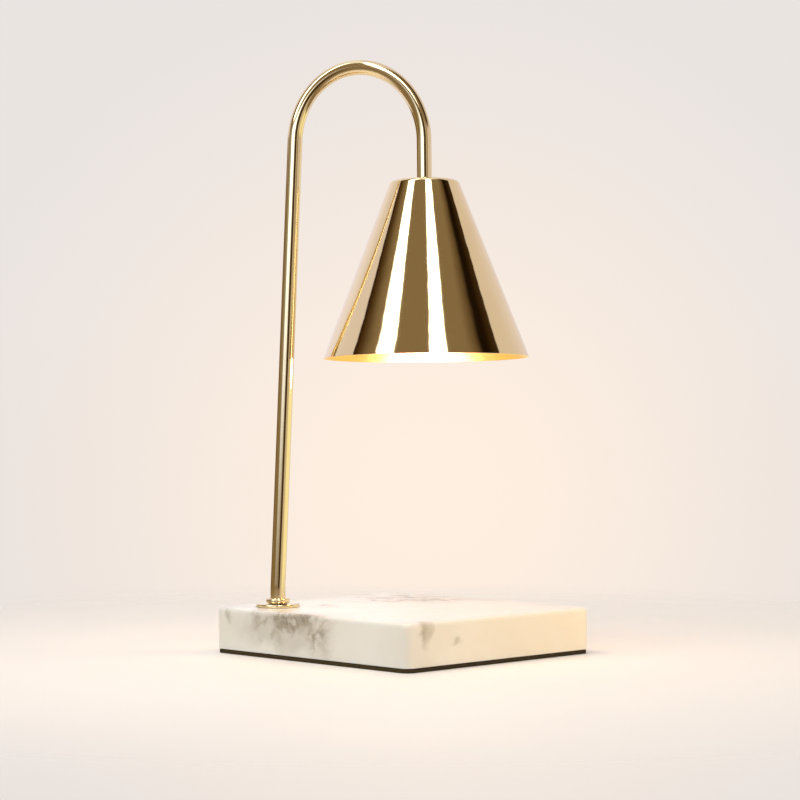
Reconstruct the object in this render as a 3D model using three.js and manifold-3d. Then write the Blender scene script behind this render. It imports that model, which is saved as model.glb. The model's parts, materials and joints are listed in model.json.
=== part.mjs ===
// Candle warmer lamp: a marble base, a bent tube arm, a conical shade and a twist-lock spotlight bulb.
// Millimetres, +Z up. The origin is the centre of the foot pad's underside.
// The arm reaches along +X over the base's diagonal, so the base's sides stand at 45 degrees to it.
import * as THREE from "three";
import { mergeVertices } from "three/addons/utils/BufferGeometryUtils.js";
import Module from "manifold-3d";

const wasm = await Module();
wasm.setup();

// Clearances
const seatGap = 0.25; // between a piece and the face it rests on
const slideGap = 0.3; // round a piece in its bore
const cutOverrun = 1; // how far every cut runs past the face it opens

// Base
const baseTurn = 45; // degrees between the base's sides and the arm
const slabLength = 142;
const slabWidth = 136;
const slabHeight = 21.75;
const slabCornerRadius = 5;
const slabEdgeRadius = 2.5;
const padThickness = 2;
const padInset = 0.4;
const poleInset = 23.3; // pole axis to each of the two sides that meet beside it
const wellClearance = 2.5; // round the washer and past the crimps
const studClearance = 1; // round the stud in the slab

// Cord inlet
const bushingBoreDiameter = 6.4;
const bushingWall = 1.1;
const bushingFlangeWidth = 2.2;
const bushingFlangeThickness = 1.6;
const bushingRise = 1; // flange's lowest point above the slab's underside

// Arm
const tubeDiameter = 8;
const tubeWall = 0.8;
const poleRise = 233.8; // straight length between the set above the foot and the arch
const archHalfSpan = 34;
const archRise = 39.6;
const dropLength = 21; // straight length between the arch and the shade
const setRadius = 60; // of the slight bend that sets the pole over
const setClearance = 1; // straight tube past the stud before that bend
const poleLean = 2.1; // degrees, towards the shade
const poleLeanBack = 1.7; // degrees, square to the arch's plane
const archOpening = 2.65; // degrees by which the two straight lengths spread below the arch

// Fasteners
const flangeDiameter = 23;
const flangeThickness = 1.8;
const flangeSeatDepth = 0.3; // spot-faced seat in the slab's top, which keeps the flange flat
const flangeEdgeRadius = 0.6;
const collarWidth = 2;
const collarHeight = 2.5;
const collarEdgeRadius = 0.8;
const studWall = 0.9;
const footStudGrip = 6; // stud length inside the tube
const shadeStudGrip = 8;
const studTail = 0.8; // stud past its nut
const washerWidth = 5.8; // ring width of the flat washer in the base
const shadeWasherWidth = 4;
const washerThickness = 1;
const lockWasherWidth = 1.8;
const lockWasherThickness = 1.4;
const lockWasherSplit = 14; // degrees
const nutSides = 6;
const nutWall = 1.9; // bore to flat
const footNutHeight = 5;
const shadeNutHeight = 3.5;

// Leads
const leadGap = 0.3; // between the two leads
const leadPlay = 0.45; // round the pair in the studs
const leadStraight = 0.4; // straight lead past the upper stud and before the cover
const leadBendRadius = 3;
const leadRun = 9; // pole axis to the crimps' mouths
const leadRoom = 9; // upper stud's end to the holder's cover
const crimpLength = 14;
const crimpGrip = 9; // lead length inside a crimp
const crimpWall = 1.2;

// Shade
const shadeTopDiameter = 36;
const shadeRimDiameter = 108.4;
const shadeHeight = 93.4;
const shadeWall = 0.9;
const shadeShoulderRadius = 2.8;

// Lampholder
const bracketThickness = 1.2;
const bracketWidth = 10;
const bracketMargin = 1.5; // beside each screw in the feet
const coverThickness = 2.2;
const holderHeight = 11;
const holderWall = 1.5;
const holderEdge = 0.8;
const facePlateThickness = 3;
const pinSpacing = 10;
const pinPlay = 0.5; // round a pin in its slot
const lockTurn = 27; // degrees from locked to free
const screwDiameter = 2.9;
const screwHeadDiameter = 5.4;
const screwHeadHeight = 1.8;
const screwSlotWidth = 0.7;
const screwSlotDepth = 0.8;
const screwRecess = 0.3; // head below the holder's face
const screwTail = 1.6; // screw past its foot
const contactThickness = 0.4;
const contactWidth = 3;
const contactLift = 0.6; // free end of the spring leaf above the pin

// Bulb
const bulbGap = 0.5; // holder face to bulb base
const bulbLength = 48; // base top to rim, without pins
const bulbDiameter = 50;
const bulbRimHeight = 4.4;
const bulbGlassWall = 1.6;
const bulbBaseDiameter = 22;
const bulbBaseLength = 16;
const bulbBaseFlare = 1.6; // how far the base widens below
const bulbBaseFlareHeight = 4;
const bulbBaseEdge = 0.8;
const bulbNeckDiameter = 18;
const bulbNeckGrip = 5; // reflector neck inside the base
const bulbNeckHeight = 1.5; // straight neck below the base
const lensThickness = 2;
const lensRecess = 0.4;
const pinNeckDiameter = 3;
const pinHeadDiameter = 4.8;
const pinHeadLength = 2.2;
const pinGrip = 3; // pin neck inside the base
const pinEdge = 0.5;
const capsuleDiameter = 9;
const capsuleWall = 0.8;
const capsuleSeatDepth = 6; // base top to the capsule's seat
const capsuleLength = 27;
const filamentWire = 0.5;
const filamentCoilDiameter = 2.6;
const filamentCoilPitch = 1.3;
const filamentTurns = 7;
const filamentTipRoom = 3; // coil to the capsule's end
const filamentLegGrip = 2; // legs inside the base
const filamentReturnOffset = 2.5;

// Facets
const roundSides = 28;
const shadeSides = 56;
const smallSides = 20;
const drillSides = 12; // holes in the lampholder
const slotSegments = 3; // each round of its slots
const tubeSides = 20;
const tubeBoreSides = 12;
const leadSides = 6;
const filamentStepsPerTurn = 6;
const cornerSegments = 3;
const edgeSegments = 3;
const archSteps = 26;
const setSteps = 2;
const bendSteps = 4;
const spreadSteps = 6;
const filletSteps = 4;
const domeSteps = 4;
const flareSteps = 6;
const flareShare = 0.62; // exponent of the reflector's flare

// Finishes
const brassFinish = finish(0xd2ab62, 0.16, 1);
const marbleFinish = finish(0xf0ebe3, 0.18, 0);
const padFinish = finish(0x1d1713, 0.85, 0);
const zincFinish = finish(0xb9bcc0, 0.35, 1);
const ceramicFinish = finish(0xefece2, 0.45, 0);
const glassFinish = finish(0xf6f1e2, 0.06, 0);
const mirrorFinish = finish(0xd9dadc, 0.08, 1);
const nickelFinish = finish(0xc9c6bd, 0.25, 1);
const bronzeFinish = finish(0xb98a4f, 0.3, 1);
const tungstenFinish = finish(0x6d6a66, 0.5, 1);
const blackPlasticFinish = finish(0x1f1f21, 0.55, 0);
const whitePlasticFinish = finish(0xe8e4da, 0.5, 0);
const brownLeadFinish = finish(0x6b4227, 0.6, 0);
const blueLeadFinish = finish(0x2f5f9e, 0.6, 0);

function finish(color, roughness, metalness) {
  return new THREE.MeshStandardMaterial({ color, roughness, metalness });
}

// Sizes that follow from the driving ones
const radians = THREE.MathUtils.degToRad;
const tubeRadius = tubeDiameter / 2;
const tubeBoreRadius = tubeRadius - tubeWall;
const studRadius = tubeBoreRadius - slideGap;
const studBoreRadius = studRadius - studWall;
const leadRadius = (studBoreRadius - leadPlay - leadGap / 2) / 2;
const leadOffset = leadRadius + leadGap / 2;
const hardwareBoreRadius = studRadius + slideGap;
const washerRadius = hardwareBoreRadius + washerWidth;
const crimpBoreRadius = leadRadius + slideGap;
const crimpRadius = crimpBoreRadius + crimpWall;
const crimpOffset = crimpRadius + seatGap / 2;
const wellRadius = washerRadius + wellClearance;
const wellLength = leadRun + crimpLength + wellClearance - wellRadius;
const bushingRadius = bushingBoreDiameter / 2 + bushingWall;
const bushingFlangeRadius = bushingRadius + bushingFlangeWidth;

// Levels in the base, measured down from the slab's top
const footStackHeight =
  seatGap + washerThickness + seatGap + lockWasherThickness + seatGap + footNutHeight;
const wellDepth = footStackHeight + studTail + leadBendRadius + crimpRadius + seatGap;
const slabCeiling = slabHeight - wellDepth;
const slabBottomLevel = padThickness + seatGap;
const footWasherTop = -slabCeiling - seatGap;
const footLockWasherTop = footWasherTop - washerThickness - seatGap;
const footNutTop = footLockWasherTop - lockWasherThickness - seatGap;
const footStudEnd = footNutTop - footNutHeight - studTail;
const leadRunLevel = footStudEnd - leadBendRadius;
const flangeLevel = seatGap - flangeSeatDepth;
const tubeFootLevel = flangeLevel + flangeThickness + seatGap;

// Levels under the shade, measured from the tube's lower end
const shadeTopLevel = -seatGap;
const shadeWasherTop = shadeTopLevel - shadeWall - seatGap;
const bracketTop = shadeWasherTop - washerThickness - seatGap;
const shadeLockWasherTop = bracketTop - bracketThickness - seatGap;
const shadeNutTop = shadeLockWasherTop - lockWasherThickness - seatGap;
const shadeStudEnd = shadeNutTop - shadeNutHeight - studTail;
const coverTop = shadeStudEnd - leadRoom;
const coverBottom = coverTop - coverThickness;
const holderTop = coverBottom - seatGap;
const holderFace = holderTop - holderHeight;
const bulbTop = holderFace - bulbGap;

// The pole's place in the base's own axes
const poleX = poleInset - slabLength / 2;
const poleY = poleInset - slabWidth / 2;

// Solids

const weldTolerance = 1e-4;

function solidOf(geometry) {
  const bare = geometry.index ? geometry.toNonIndexed() : geometry.clone();
  bare.deleteAttribute("normal");
  bare.deleteAttribute("uv");
  const merged = mergeVertices(bare, weldTolerance);
  const vertProperties = merged.attributes.position.array;
  const triVerts = new Uint32Array(merged.index.array);
  return new wasm.Manifold(new wasm.Mesh({ numProp: 3, vertProperties, triVerts }));
}

function cut(geometry, ...tools) {
  const rest = tools.reduce((solid, tool) => solid.subtract(solidOf(tool)), solidOf(geometry));
  return geometryOf(rest);
}

function geometryOf(solid) {
  const { vertProperties, triVerts } = solid.getMesh();
  return new THREE.BufferGeometry()
    .setAttribute("position", new THREE.BufferAttribute(vertProperties, 3))
    .setIndex(new THREE.BufferAttribute(triVerts, 1));
}

// A body of revolution about +Z. The profile lists radius and height, up the outside and down the bore.
function revolve(profile, sides = roundSides) {
  return new THREE.LatheGeometry(profile, sides).rotateX(Math.PI / 2);
}

function ring(innerRadius, outerRadius, height, sides = roundSides) {
  return revolve(
    [
      at(innerRadius, 0),
      at(outerRadius, 0),
      at(outerRadius, height),
      at(innerRadius, height),
      at(innerRadius, 0),
    ],
    sides,
  );
}

function cylinder(radius, height, sides = roundSides) {
  return new THREE.CylinderGeometry(radius, radius, height, sides)
    .rotateX(Math.PI / 2)
    .translate(0, 0, height / 2);
}

function prism(shape, height, curveSegments = cornerSegments) {
  return new THREE.ExtrudeGeometry(shape, { depth: height, bevelEnabled: false, curveSegments });
}

function at(x, y) {
  return new THREE.Vector2(x, y);
}

// Points on an arc of the profile plane, from one angle to another in degrees
function arc(x, y, radius, from, to, steps) {
  return Array.from({ length: steps + 1 }, (_, i) => {
    const angle = radians(from + ((to - from) * i) / steps);
    return at(x + radius * Math.cos(angle), y + radius * Math.sin(angle));
  });
}

// A path that puts one ring of the swept tube at each station, so straight lengths need no extra rings
class StationPath extends THREE.Curve {
  constructor(stations) {
    super();
    this.stations = stations;
    this.steps = stations.length - 1;
  }
  getPoint(t, target = new THREE.Vector3()) {
    const place = t * this.steps;
    const i = Math.min(Math.floor(place), this.steps - 1);
    return target.lerpVectors(this.stations[i], this.stations[i + 1], place - i);
  }
  getPointAt(u, target) {
    return this.getPoint(u, target);
  }
  getTangentAt(u, target) {
    return this.getTangent(u, target);
  }
}

function sweep(stations, radius, sides) {
  const extrudePath = new StationPath(stations);
  const section = new THREE.Shape().absarc(0, 0, radius, 0, 2 * Math.PI);
  return new THREE.ExtrudeGeometry(section, {
    extrudePath,
    steps: extrudePath.steps,
    curveSegments: sides / 2,
  });
}

// The same stations with both ends moved out by a length, for a cut that opens both ends
function lengthened(stations, length) {
  const first = stations[0].clone().sub(stations[1]).setLength(length).add(stations[0]);
  const last = stations.at(-1).clone().sub(stations.at(-2)).setLength(length).add(stations.at(-1));
  return [first, ...stations.slice(1, -1), last];
}

// A height that eases from one value to another, for leads that move across without a kink
function eased(from, to, share) {
  return from + ((to - from) * (1 - Math.cos(Math.PI * share))) / 2;
}

// A rectangle with round corners about the origin
function roundedRectangle(length, width, radius) {
  const x = length / 2 - radius;
  const y = width / 2 - radius;
  return new THREE.Shape()
    .absarc(x, y, radius, 0, Math.PI / 2)
    .absarc(-x, y, radius, Math.PI / 2, Math.PI)
    .absarc(-x, -y, radius, Math.PI, 1.5 * Math.PI)
    .absarc(x, -y, radius, 1.5 * Math.PI, 2 * Math.PI);
}

// A slot with round ends along a straight line from the origin towards +X
function straightSlot(length, radius) {
  return new THREE.Shape()
    .absarc(length, 0, radius, -Math.PI / 2, Math.PI / 2)
    .absarc(0, 0, radius, Math.PI / 2, 1.5 * Math.PI);
}

// A slot with round ends along an arc about the origin, between two angles in degrees
function arcSlot(radius, halfWidth, from, to) {
  const a = radians(from);
  const b = radians(to);
  return new THREE.Shape()
    .absarc(0, 0, radius + halfWidth, a, b)
    .absarc(radius * Math.cos(b), radius * Math.sin(b), halfWidth, b, b + Math.PI)
    .absarc(0, 0, radius - halfWidth, b, a, true)
    .absarc(radius * Math.cos(a), radius * Math.sin(a), halfWidth, a + Math.PI, a + 2 * Math.PI);
}

// The outline of a strip of even thickness that is bent along a line
function stripShape(line, thickness) {
  const sides = [1, -1].map((side) =>
    line.map((point, i) => {
      const before = point.clone().sub(line[Math.max(i - 1, 0)]);
      const after = line[Math.min(i + 1, line.length - 1)].clone().sub(point);
      const into = (before.length() ? before : after).clone().normalize();
      const out = (after.length() ? after : before).clone().normalize();
      const mitre = into.clone().add(out).normalize();
      const reach = (side * thickness) / 2 / mitre.dot(out);
      return at(point.x - mitre.y * reach, point.y + mitre.x * reach);
    }),
  );
  return new THREE.Shape([...sides[1], ...sides[0].reverse()]);
}

// Turns a prism drawn in a vertical plane upright: drawn height becomes +Z, and its depth is centred on Y
function uprightStrip(shape, width) {
  return prism(shape, width).rotateX(Math.PI / 2).translate(0, width / 2, 0);
}

// Groups and nodes

const lamp = new THREE.Group();
const base = new THREE.Group();
base.position.z = slabBottomLevel;
base.rotation.z = -radians(baseTurn);
const arm = new THREE.Group();
arm.position.copy(baseToLamp(poleX, poleY, slabHeight));
const drop = new THREE.Group();
const bulb = new THREE.Group();
bulb.position.z = bulbTop;
drop.add(bulb);
arm.add(drop);
lamp.add(base, arm);

function baseToLamp(x, y, z) {
  base.updateMatrix();
  return new THREE.Vector3(x, y, z).applyMatrix4(base.matrix);
}

function add(group, name, geometry, material) {
  const mesh = new THREE.Mesh(geometry, material);
  mesh.name = name;
  group.add(mesh);
  return mesh;
}

// Base: a polished slab with the fixing well in its underside, on a soft pad

function slabGeometry() {
  const shape = roundedRectangle(
    slabLength - 2 * slabEdgeRadius,
    slabWidth - 2 * slabEdgeRadius,
    slabCornerRadius - slabEdgeRadius,
  );
  const block = new THREE.ExtrudeGeometry(shape, {
    depth: slabHeight,
    curveSegments: cornerSegments,
    bevelSize: slabEdgeRadius,
    bevelThickness: slabEdgeRadius,
    bevelSegments: edgeSegments,
  }).translate(0, 0, -slabEdgeRadius);
  // The block's lower rounding stands below the slab's underside and is sawn off
  const sawDepth = 2 * slabEdgeRadius + cutOverrun;
  const saw = new THREE.BoxGeometry(slabLength + cutOverrun, slabWidth + cutOverrun, sawDepth)
    .translate(0, 0, -sawDepth / 2);
  const well = prism(straightSlot(wellLength, wellRadius), wellDepth + cutOverrun, smallSides / 4)
    .rotateZ(radians(baseTurn))
    .translate(poleX, poleY, -cutOverrun);
  const studHole = cylinder(studRadius + studClearance, slabHeight + cutOverrun, smallSides)
    .translate(poleX, poleY, 0);
  const flangeSeat = cylinder(flangeDiameter / 2 + seatGap, flangeSeatDepth + cutOverrun)
    .translate(poleX, poleY, slabHeight - flangeSeatDepth);
  const inlet = cylinder(bushingRadius + slideGap, poleInset + cutOverrun, smallSides)
    .rotateY(-Math.PI / 2)
    .translate(poleX, poleY, bushingRise + bushingFlangeRadius);
  return cut(block, saw, well, studHole, flangeSeat, inlet);
}

function padGeometry() {
  return prism(
    roundedRectangle(
      slabLength - 2 * padInset,
      slabWidth - 2 * padInset,
      slabCornerRadius - padInset,
    ),
    padThickness,
  );
}

// A flanged sleeve pushed into the cord's hole in the side of the slab
function bushingGeometry() {
  const sleeve = poleInset - wellRadius;
  const bore = bushingBoreDiameter / 2;
  const edge = bushingFlangeThickness / 2;
  return revolve(
    [
      at(bore, -sleeve),
      at(bushingRadius, -sleeve),
      at(bushingRadius, seatGap),
      at(bushingFlangeRadius, seatGap),
      ...arc(
        bushingFlangeRadius - edge,
        seatGap + bushingFlangeThickness - edge,
        edge,
        0,
        90,
        edgeSegments,
      ),
      at(bore + edge, seatGap + bushingFlangeThickness),
      at(bore, seatGap + bushingFlangeThickness - edge),
      at(bore, -sleeve),
    ],
    smallSides,
  );
}

add(base, "marble_base", slabGeometry(), marbleFinish);
add(base, "foot_pad", padGeometry(), padFinish).position.z = -slabBottomLevel;
const bushing = add(base, "cord_bushing", bushingGeometry(), blackPlasticFinish);
bushing.position.set(-slabLength / 2, poleY, bushingRise + bushingFlangeRadius);
bushing.rotation.y = -Math.PI / 2;

// Fasteners on the two hollow studs

// A split spring washer
function lockWasherGeometry() {
  const inner = hardwareBoreRadius;
  const outer = inner + lockWasherWidth;
  const end = 2 * Math.PI - radians(lockWasherSplit);
  const shape = new THREE.Shape().absarc(0, 0, outer, 0, end).absarc(0, 0, inner, end, 0, true);
  return prism(shape, lockWasherThickness, smallSides / 2);
}

// A hexagon nut whose corners are turned down at both faces
function nutGeometry(height) {
  const flat = hardwareBoreRadius + nutWall;
  const corner = flat / Math.cos(Math.PI / nutSides);
  const chamfer = corner - flat;
  const hexagon = new THREE.Shape(arc(0, 0, corner, 0, 360, nutSides).slice(1));
  const envelope = revolve([
    at(0, 0),
    at(flat, 0),
    at(corner, chamfer),
    at(corner, height - chamfer),
    at(flat, height),
    at(0, height),
  ]);
  const body = solidOf(prism(hexagon, height)).intersect(solidOf(envelope));
  return cut(
    geometryOf(body),
    cylinder(hardwareBoreRadius, height + 2 * cutOverrun, smallSides).translate(0, 0, -cutOverrun),
  );
}

function studGeometry(length) {
  return ring(studBoreRadius, studRadius, length, smallSides);
}

function flangeGeometry() {
  const radius = flangeDiameter / 2;
  return revolve([
    at(hardwareBoreRadius, 0),
    at(radius, 0),
    ...arc(
      radius - flangeEdgeRadius,
      flangeThickness - flangeEdgeRadius,
      flangeEdgeRadius,
      0,
      90,
      edgeSegments,
    ),
    at(hardwareBoreRadius, flangeThickness),
    at(hardwareBoreRadius, 0),
  ]);
}

function collarGeometry() {
  const inner = tubeRadius + slideGap;
  const outer = inner + collarWidth;
  return revolve([
    at(inner, 0),
    at(outer, 0),
    ...arc(
      outer - collarEdgeRadius,
      collarHeight - collarEdgeRadius,
      collarEdgeRadius,
      0,
      90,
      edgeSegments,
    ),
    at(inner, collarHeight),
    at(inner, 0),
  ]);
}

function addAt(group, name, geometry, material, z) {
  add(group, name, geometry, material).position.z = z;
}

const footStudLength = tubeFootLevel + footStudGrip - footStudEnd;
const footWasher = ring(hardwareBoreRadius, washerRadius, washerThickness);
addAt(arm, "pole_flange", flangeGeometry(), brassFinish, flangeLevel);
addAt(arm, "pole_collar", collarGeometry(), brassFinish, tubeFootLevel);
addAt(arm, "pole_stud", studGeometry(footStudLength), zincFinish, footStudEnd);
addAt(arm, "pole_washer", footWasher, zincFinish, footWasherTop - washerThickness);
addAt(
  arm,
  "pole_lock_washer",
  lockWasherGeometry(),
  zincFinish,
  footLockWasherTop - lockWasherThickness,
);
addAt(arm, "pole_nut", nutGeometry(footNutHeight), zincFinish, footNutTop - footNutHeight);

// Arm: a straight foot, a slight set towards the shade, the pole, the arch and the short drop

const leanTurn = new THREE.Quaternion().setFromEuler(
  new THREE.Euler(-radians(poleLeanBack), radians(poleLean), 0, "XYZ"),
);

function armStations() {
  const foot = new THREE.Vector3(0, 0, tubeFootLevel);
  const setStart = new THREE.Vector3(0, 0, tubeFootLevel + footStudGrip + setClearance);
  const up = new THREE.Vector3(0, 0, 1);
  const leaning = up.clone().applyQuaternion(leanTurn);
  const sideways = new THREE.Vector3(leaning.x, leaning.y, 0).normalize();
  const setAngle = up.angleTo(leaning);
  const set = Array.from({ length: setSteps }, (_, i) => {
    const angle = (setAngle * (i + 1)) / setSteps;
    return setStart
      .clone()
      .addScaledVector(sideways, setRadius * (1 - Math.cos(angle)))
      .addScaledVector(up, setRadius * Math.sin(angle));
  });
  const poleStart = set.at(-1);
  const spread = radians(archOpening);
  const archEnd = Math.PI - Math.atan((archRise / archHalfSpan) * Math.tan(spread));
  const arch = Array.from({ length: archSteps + 1 }, (_, i) => {
    const angle = (archEnd * i) / archSteps;
    const x = archHalfSpan * (1 - Math.cos(angle));
    return new THREE.Vector3(x, 0, poleRise + archRise * Math.sin(angle));
  });
  const dropDirection = new THREE.Vector3(Math.sin(spread), 0, -Math.cos(spread));
  const end = arch.at(-1).clone().addScaledVector(dropDirection, dropLength);
  const upper = [...arch, end].map((p) => p.applyQuaternion(leanTurn).add(poleStart));
  return [foot, setStart, ...set, ...upper];
}

const tubeLine = armStations();
const tubeEnd = tubeLine.at(-1);
const archNormal = new THREE.Vector3(0, 1, 0).applyQuaternion(leanTurn);
const tubeBore = sweep(lengthened(tubeLine, cutOverrun), tubeBoreRadius, tubeBoreSides);
add(arm, "arm_tube", cut(sweep(tubeLine, tubeRadius, tubeSides), tubeBore), brassFinish);

// The drop group's +Z runs up the tube's last straight length, and its origin is the tube's lower end
const dropUp = tubeLine.at(-2).clone().sub(tubeEnd).normalize();
const dropAcross = new THREE.Vector3().crossVectors(archNormal, dropUp).normalize();
drop.position.copy(tubeEnd);
drop.quaternion.setFromRotationMatrix(
  new THREE.Matrix4().makeBasis(dropAcross, archNormal, dropUp),
);
drop.updateMatrix();

// Shade: a spun cone, open below, clamped between the tube and the bracket

function shadeGeometry() {
  const topRadius = shadeTopDiameter / 2;
  const rimRadius = shadeRimDiameter / 2;
  const slope = THREE.MathUtils.radToDeg(Math.atan((rimRadius - topRadius) / shadeHeight));
  const shoulderTangent = shadeShoulderRadius * Math.tan(radians((90 - slope) / 2));
  const shoulderX = topRadius - shoulderTangent;
  const shoulderZ = shadeTopLevel - shadeShoulderRadius;
  const rimLevel = shadeTopLevel - shadeHeight;
  const rimWall = shadeWall / Math.cos(radians(slope));
  const innerRadius = shadeShoulderRadius - shadeWall;
  return revolve(
    [
      at(rimRadius - rimWall, rimLevel),
      at(rimRadius, rimLevel),
      ...arc(shoulderX, shoulderZ, shadeShoulderRadius, slope, 90, filletSteps),
      at(hardwareBoreRadius, shadeTopLevel),
      at(hardwareBoreRadius, shadeTopLevel - shadeWall),
      ...arc(shoulderX, shoulderZ, innerRadius, 90, slope, filletSteps),
      at(rimRadius - rimWall, rimLevel),
    ],
    shadeSides,
  );
}

const shadeWasher = ring(
  hardwareBoreRadius,
  hardwareBoreRadius + shadeWasherWidth,
  washerThickness,
);
const shadeStudLength = shadeStudGrip - shadeStudEnd;
add(drop, "shade", shadeGeometry(), brassFinish);
addAt(drop, "shade_stud", studGeometry(shadeStudLength), zincFinish, shadeStudEnd);
addAt(drop, "shade_washer", shadeWasher, zincFinish, shadeWasherTop - washerThickness);
addAt(
  drop,
  "shade_lock_washer",
  lockWasherGeometry(),
  zincFinish,
  shadeLockWasherTop - lockWasherThickness,
);
addAt(drop, "shade_nut", nutGeometry(shadeNutHeight), zincFinish, shadeNutTop - shadeNutHeight);

// Lampholder: a ceramic body with two keyhole slots, its cover, spring contacts, screws and bracket

const pinCircle = pinSpacing / 2;
const pinNeckRadius = pinNeckDiameter / 2;
const pinHeadRadius = pinHeadDiameter / 2;
const headRoomRadius = pinHeadRadius + pinPlay;
const headUnderside = holderFace + facePlateThickness + seatGap;
const screwHoleRadius = screwDiameter / 2 + slideGap;
const screwHeadRoom = screwHeadDiameter / 2 + slideGap;
const screwHeadDepth = screwHeadHeight + seatGap + screwRecess;
const cavityReach = pinCircle * Math.sin(radians(lockTurn)) + headRoomRadius;
const screwOffset = cavityReach + holderWall + screwHoleRadius;
const holderRadius = screwOffset + screwHeadRoom + holderWall;
const locked = { line: 90, neutral: 270 }; // degrees, where each pin stands when the bulb is locked

function holderGeometry() {
  const body = revolve([
    at(0, 0),
    at(holderRadius - holderEdge, 0),
    at(holderRadius, holderEdge),
    at(holderRadius, holderHeight),
    at(0, holderHeight),
  ]);
  const through = holderHeight + 2 * cutOverrun;
  const cavityHeight = holderHeight - facePlateThickness + cutOverrun;
  const cuts = Object.values(locked).flatMap((angle) => {
    const free = angle - lockTurn;
    const entry = at(0, 0).setX(pinCircle).rotateAround(at(0, 0), radians(free));
    const neckSlot = arcSlot(pinCircle, pinNeckRadius + pinPlay, free, angle);
    const headRoom = arcSlot(pinCircle, headRoomRadius, free, angle);
    return [
      prism(neckSlot, through, slotSegments).translate(0, 0, -cutOverrun),
      prism(headRoom, cavityHeight, slotSegments).translate(0, 0, facePlateThickness),
      cylinder(headRoomRadius, through, drillSides).translate(entry.x, entry.y, -cutOverrun),
    ];
  });
  const screwCuts = [-1, 1].flatMap((side) => [
    cylinder(screwHoleRadius, through, drillSides).translate(side * screwOffset, 0, -cutOverrun),
    cylinder(screwHeadRoom, screwHeadDepth + cutOverrun, drillSides).translate(
      side * screwOffset,
      0,
      -cutOverrun,
    ),
  ]);
  return cut(body, ...cuts, ...screwCuts);
}

function coverGeometry() {
  const through = coverThickness + 2 * cutOverrun;
  const plate = revolve([
    at(0, 0),
    at(holderRadius, 0),
    at(holderRadius, coverThickness - holderEdge),
    at(holderRadius - holderEdge, coverThickness),
    at(0, coverThickness),
  ]);
  const holes = [-1, 1].flatMap((side) => [
    cylinder(leadRadius + slideGap, through, smallSides).translate(
      0,
      side * pinCircle,
      -cutOverrun,
    ),
    cylinder(screwHoleRadius, through, smallSides).translate(side * screwOffset, 0, -cutOverrun),
  ]);
  return cut(plate, ...holes);
}

// A flat strip bent into a box, open below, with its feet turned in over the cover
function bracketGeometry() {
  const half = bracketThickness / 2;
  const legX = screwOffset + screwHoleRadius + bracketMargin + half;
  const footX = screwOffset - screwHoleRadius - bracketMargin;
  const plateZ = bracketTop - half;
  const footZ = coverTop + seatGap + half;
  const line = [
    at(-footX, footZ),
    at(-legX, footZ),
    at(-legX, plateZ),
    at(legX, plateZ),
    at(legX, footZ),
    at(footX, footZ),
  ];
  const strip = uprightStrip(stripShape(line, bracketThickness), bracketWidth);
  const drill = bracketThickness + 2 * cutOverrun;
  const screwHoles = [-1, 1].map((side) =>
    cylinder(screwHoleRadius, drill, smallSides).translate(
      side * screwOffset,
      0,
      footZ - drill / 2,
    ),
  );
  const studHole = cylinder(hardwareBoreRadius, drill, smallSides).translate(
    0,
    0,
    plateZ - drill / 2,
  );
  return cut(strip, studHole, ...screwHoles);
}

// A spring leaf folded under the cover, so that its free end presses on the pin's head
function contactGeometry(angle) {
  const half = contactThickness / 2;
  const roomAtEdge = Math.sqrt(headRoomRadius ** 2 - (contactWidth / 2) ** 2);
  const reach = roomAtEdge - seatGap - half;
  const top = coverBottom - seatGap - half;
  const bottom = headUnderside + pinHeadLength + seatGap + half;
  const line = [
    at(pinCircle - reach, top),
    at(pinCircle + reach, top),
    at(pinCircle + reach, bottom),
    at(pinCircle, bottom),
    at(pinCircle - reach, bottom + contactLift),
  ];
  return uprightStrip(stripShape(line, contactThickness), contactWidth).rotateZ(radians(angle));
}

// A pan-head screw, driven upwards
function screwGeometry() {
  const headTop = holderFace + screwHeadDepth - seatGap;
  const tip = coverTop + seatGap + bracketThickness + screwTail;
  const headRadius = screwHeadDiameter / 2;
  const shank = screwDiameter / 2;
  const headBottom = headTop - screwHeadHeight;
  const dome = headRadius - shank;
  const body = revolve(
    [
      at(0, headBottom),
      at(headRadius - dome / 2, headBottom),
      at(headRadius, headBottom + screwHeadHeight / 2),
      at(headRadius, headTop),
      at(shank, headTop),
      at(shank, tip - shank / 2),
      at(shank / 2, tip),
      at(0, tip),
    ],
    smallSides,
  );
  const slot = new THREE.BoxGeometry(
    screwHeadDiameter + cutOverrun,
    screwSlotWidth,
    screwSlotDepth + cutOverrun,
  ).translate(0, 0, headBottom + (screwSlotDepth - cutOverrun) / 2);
  return cut(body, slot);
}

addAt(drop, "lampholder", holderGeometry(), ceramicFinish, holderFace);
addAt(drop, "holder_cover", coverGeometry(), ceramicFinish, coverBottom);
add(drop, "holder_bracket", bracketGeometry(), zincFinish);
for (const [name, angle] of Object.entries(locked)) {
  add(drop, `contact_${name}`, contactGeometry(angle), bronzeFinish);
}
add(drop, "holder_screw_left", screwGeometry(), zincFinish).position.x = -screwOffset;
add(drop, "holder_screw_right", screwGeometry(), zincFinish).position.x = screwOffset;

// Leads: from the crimps in the well up through the studs and the tube to the two contacts

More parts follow.
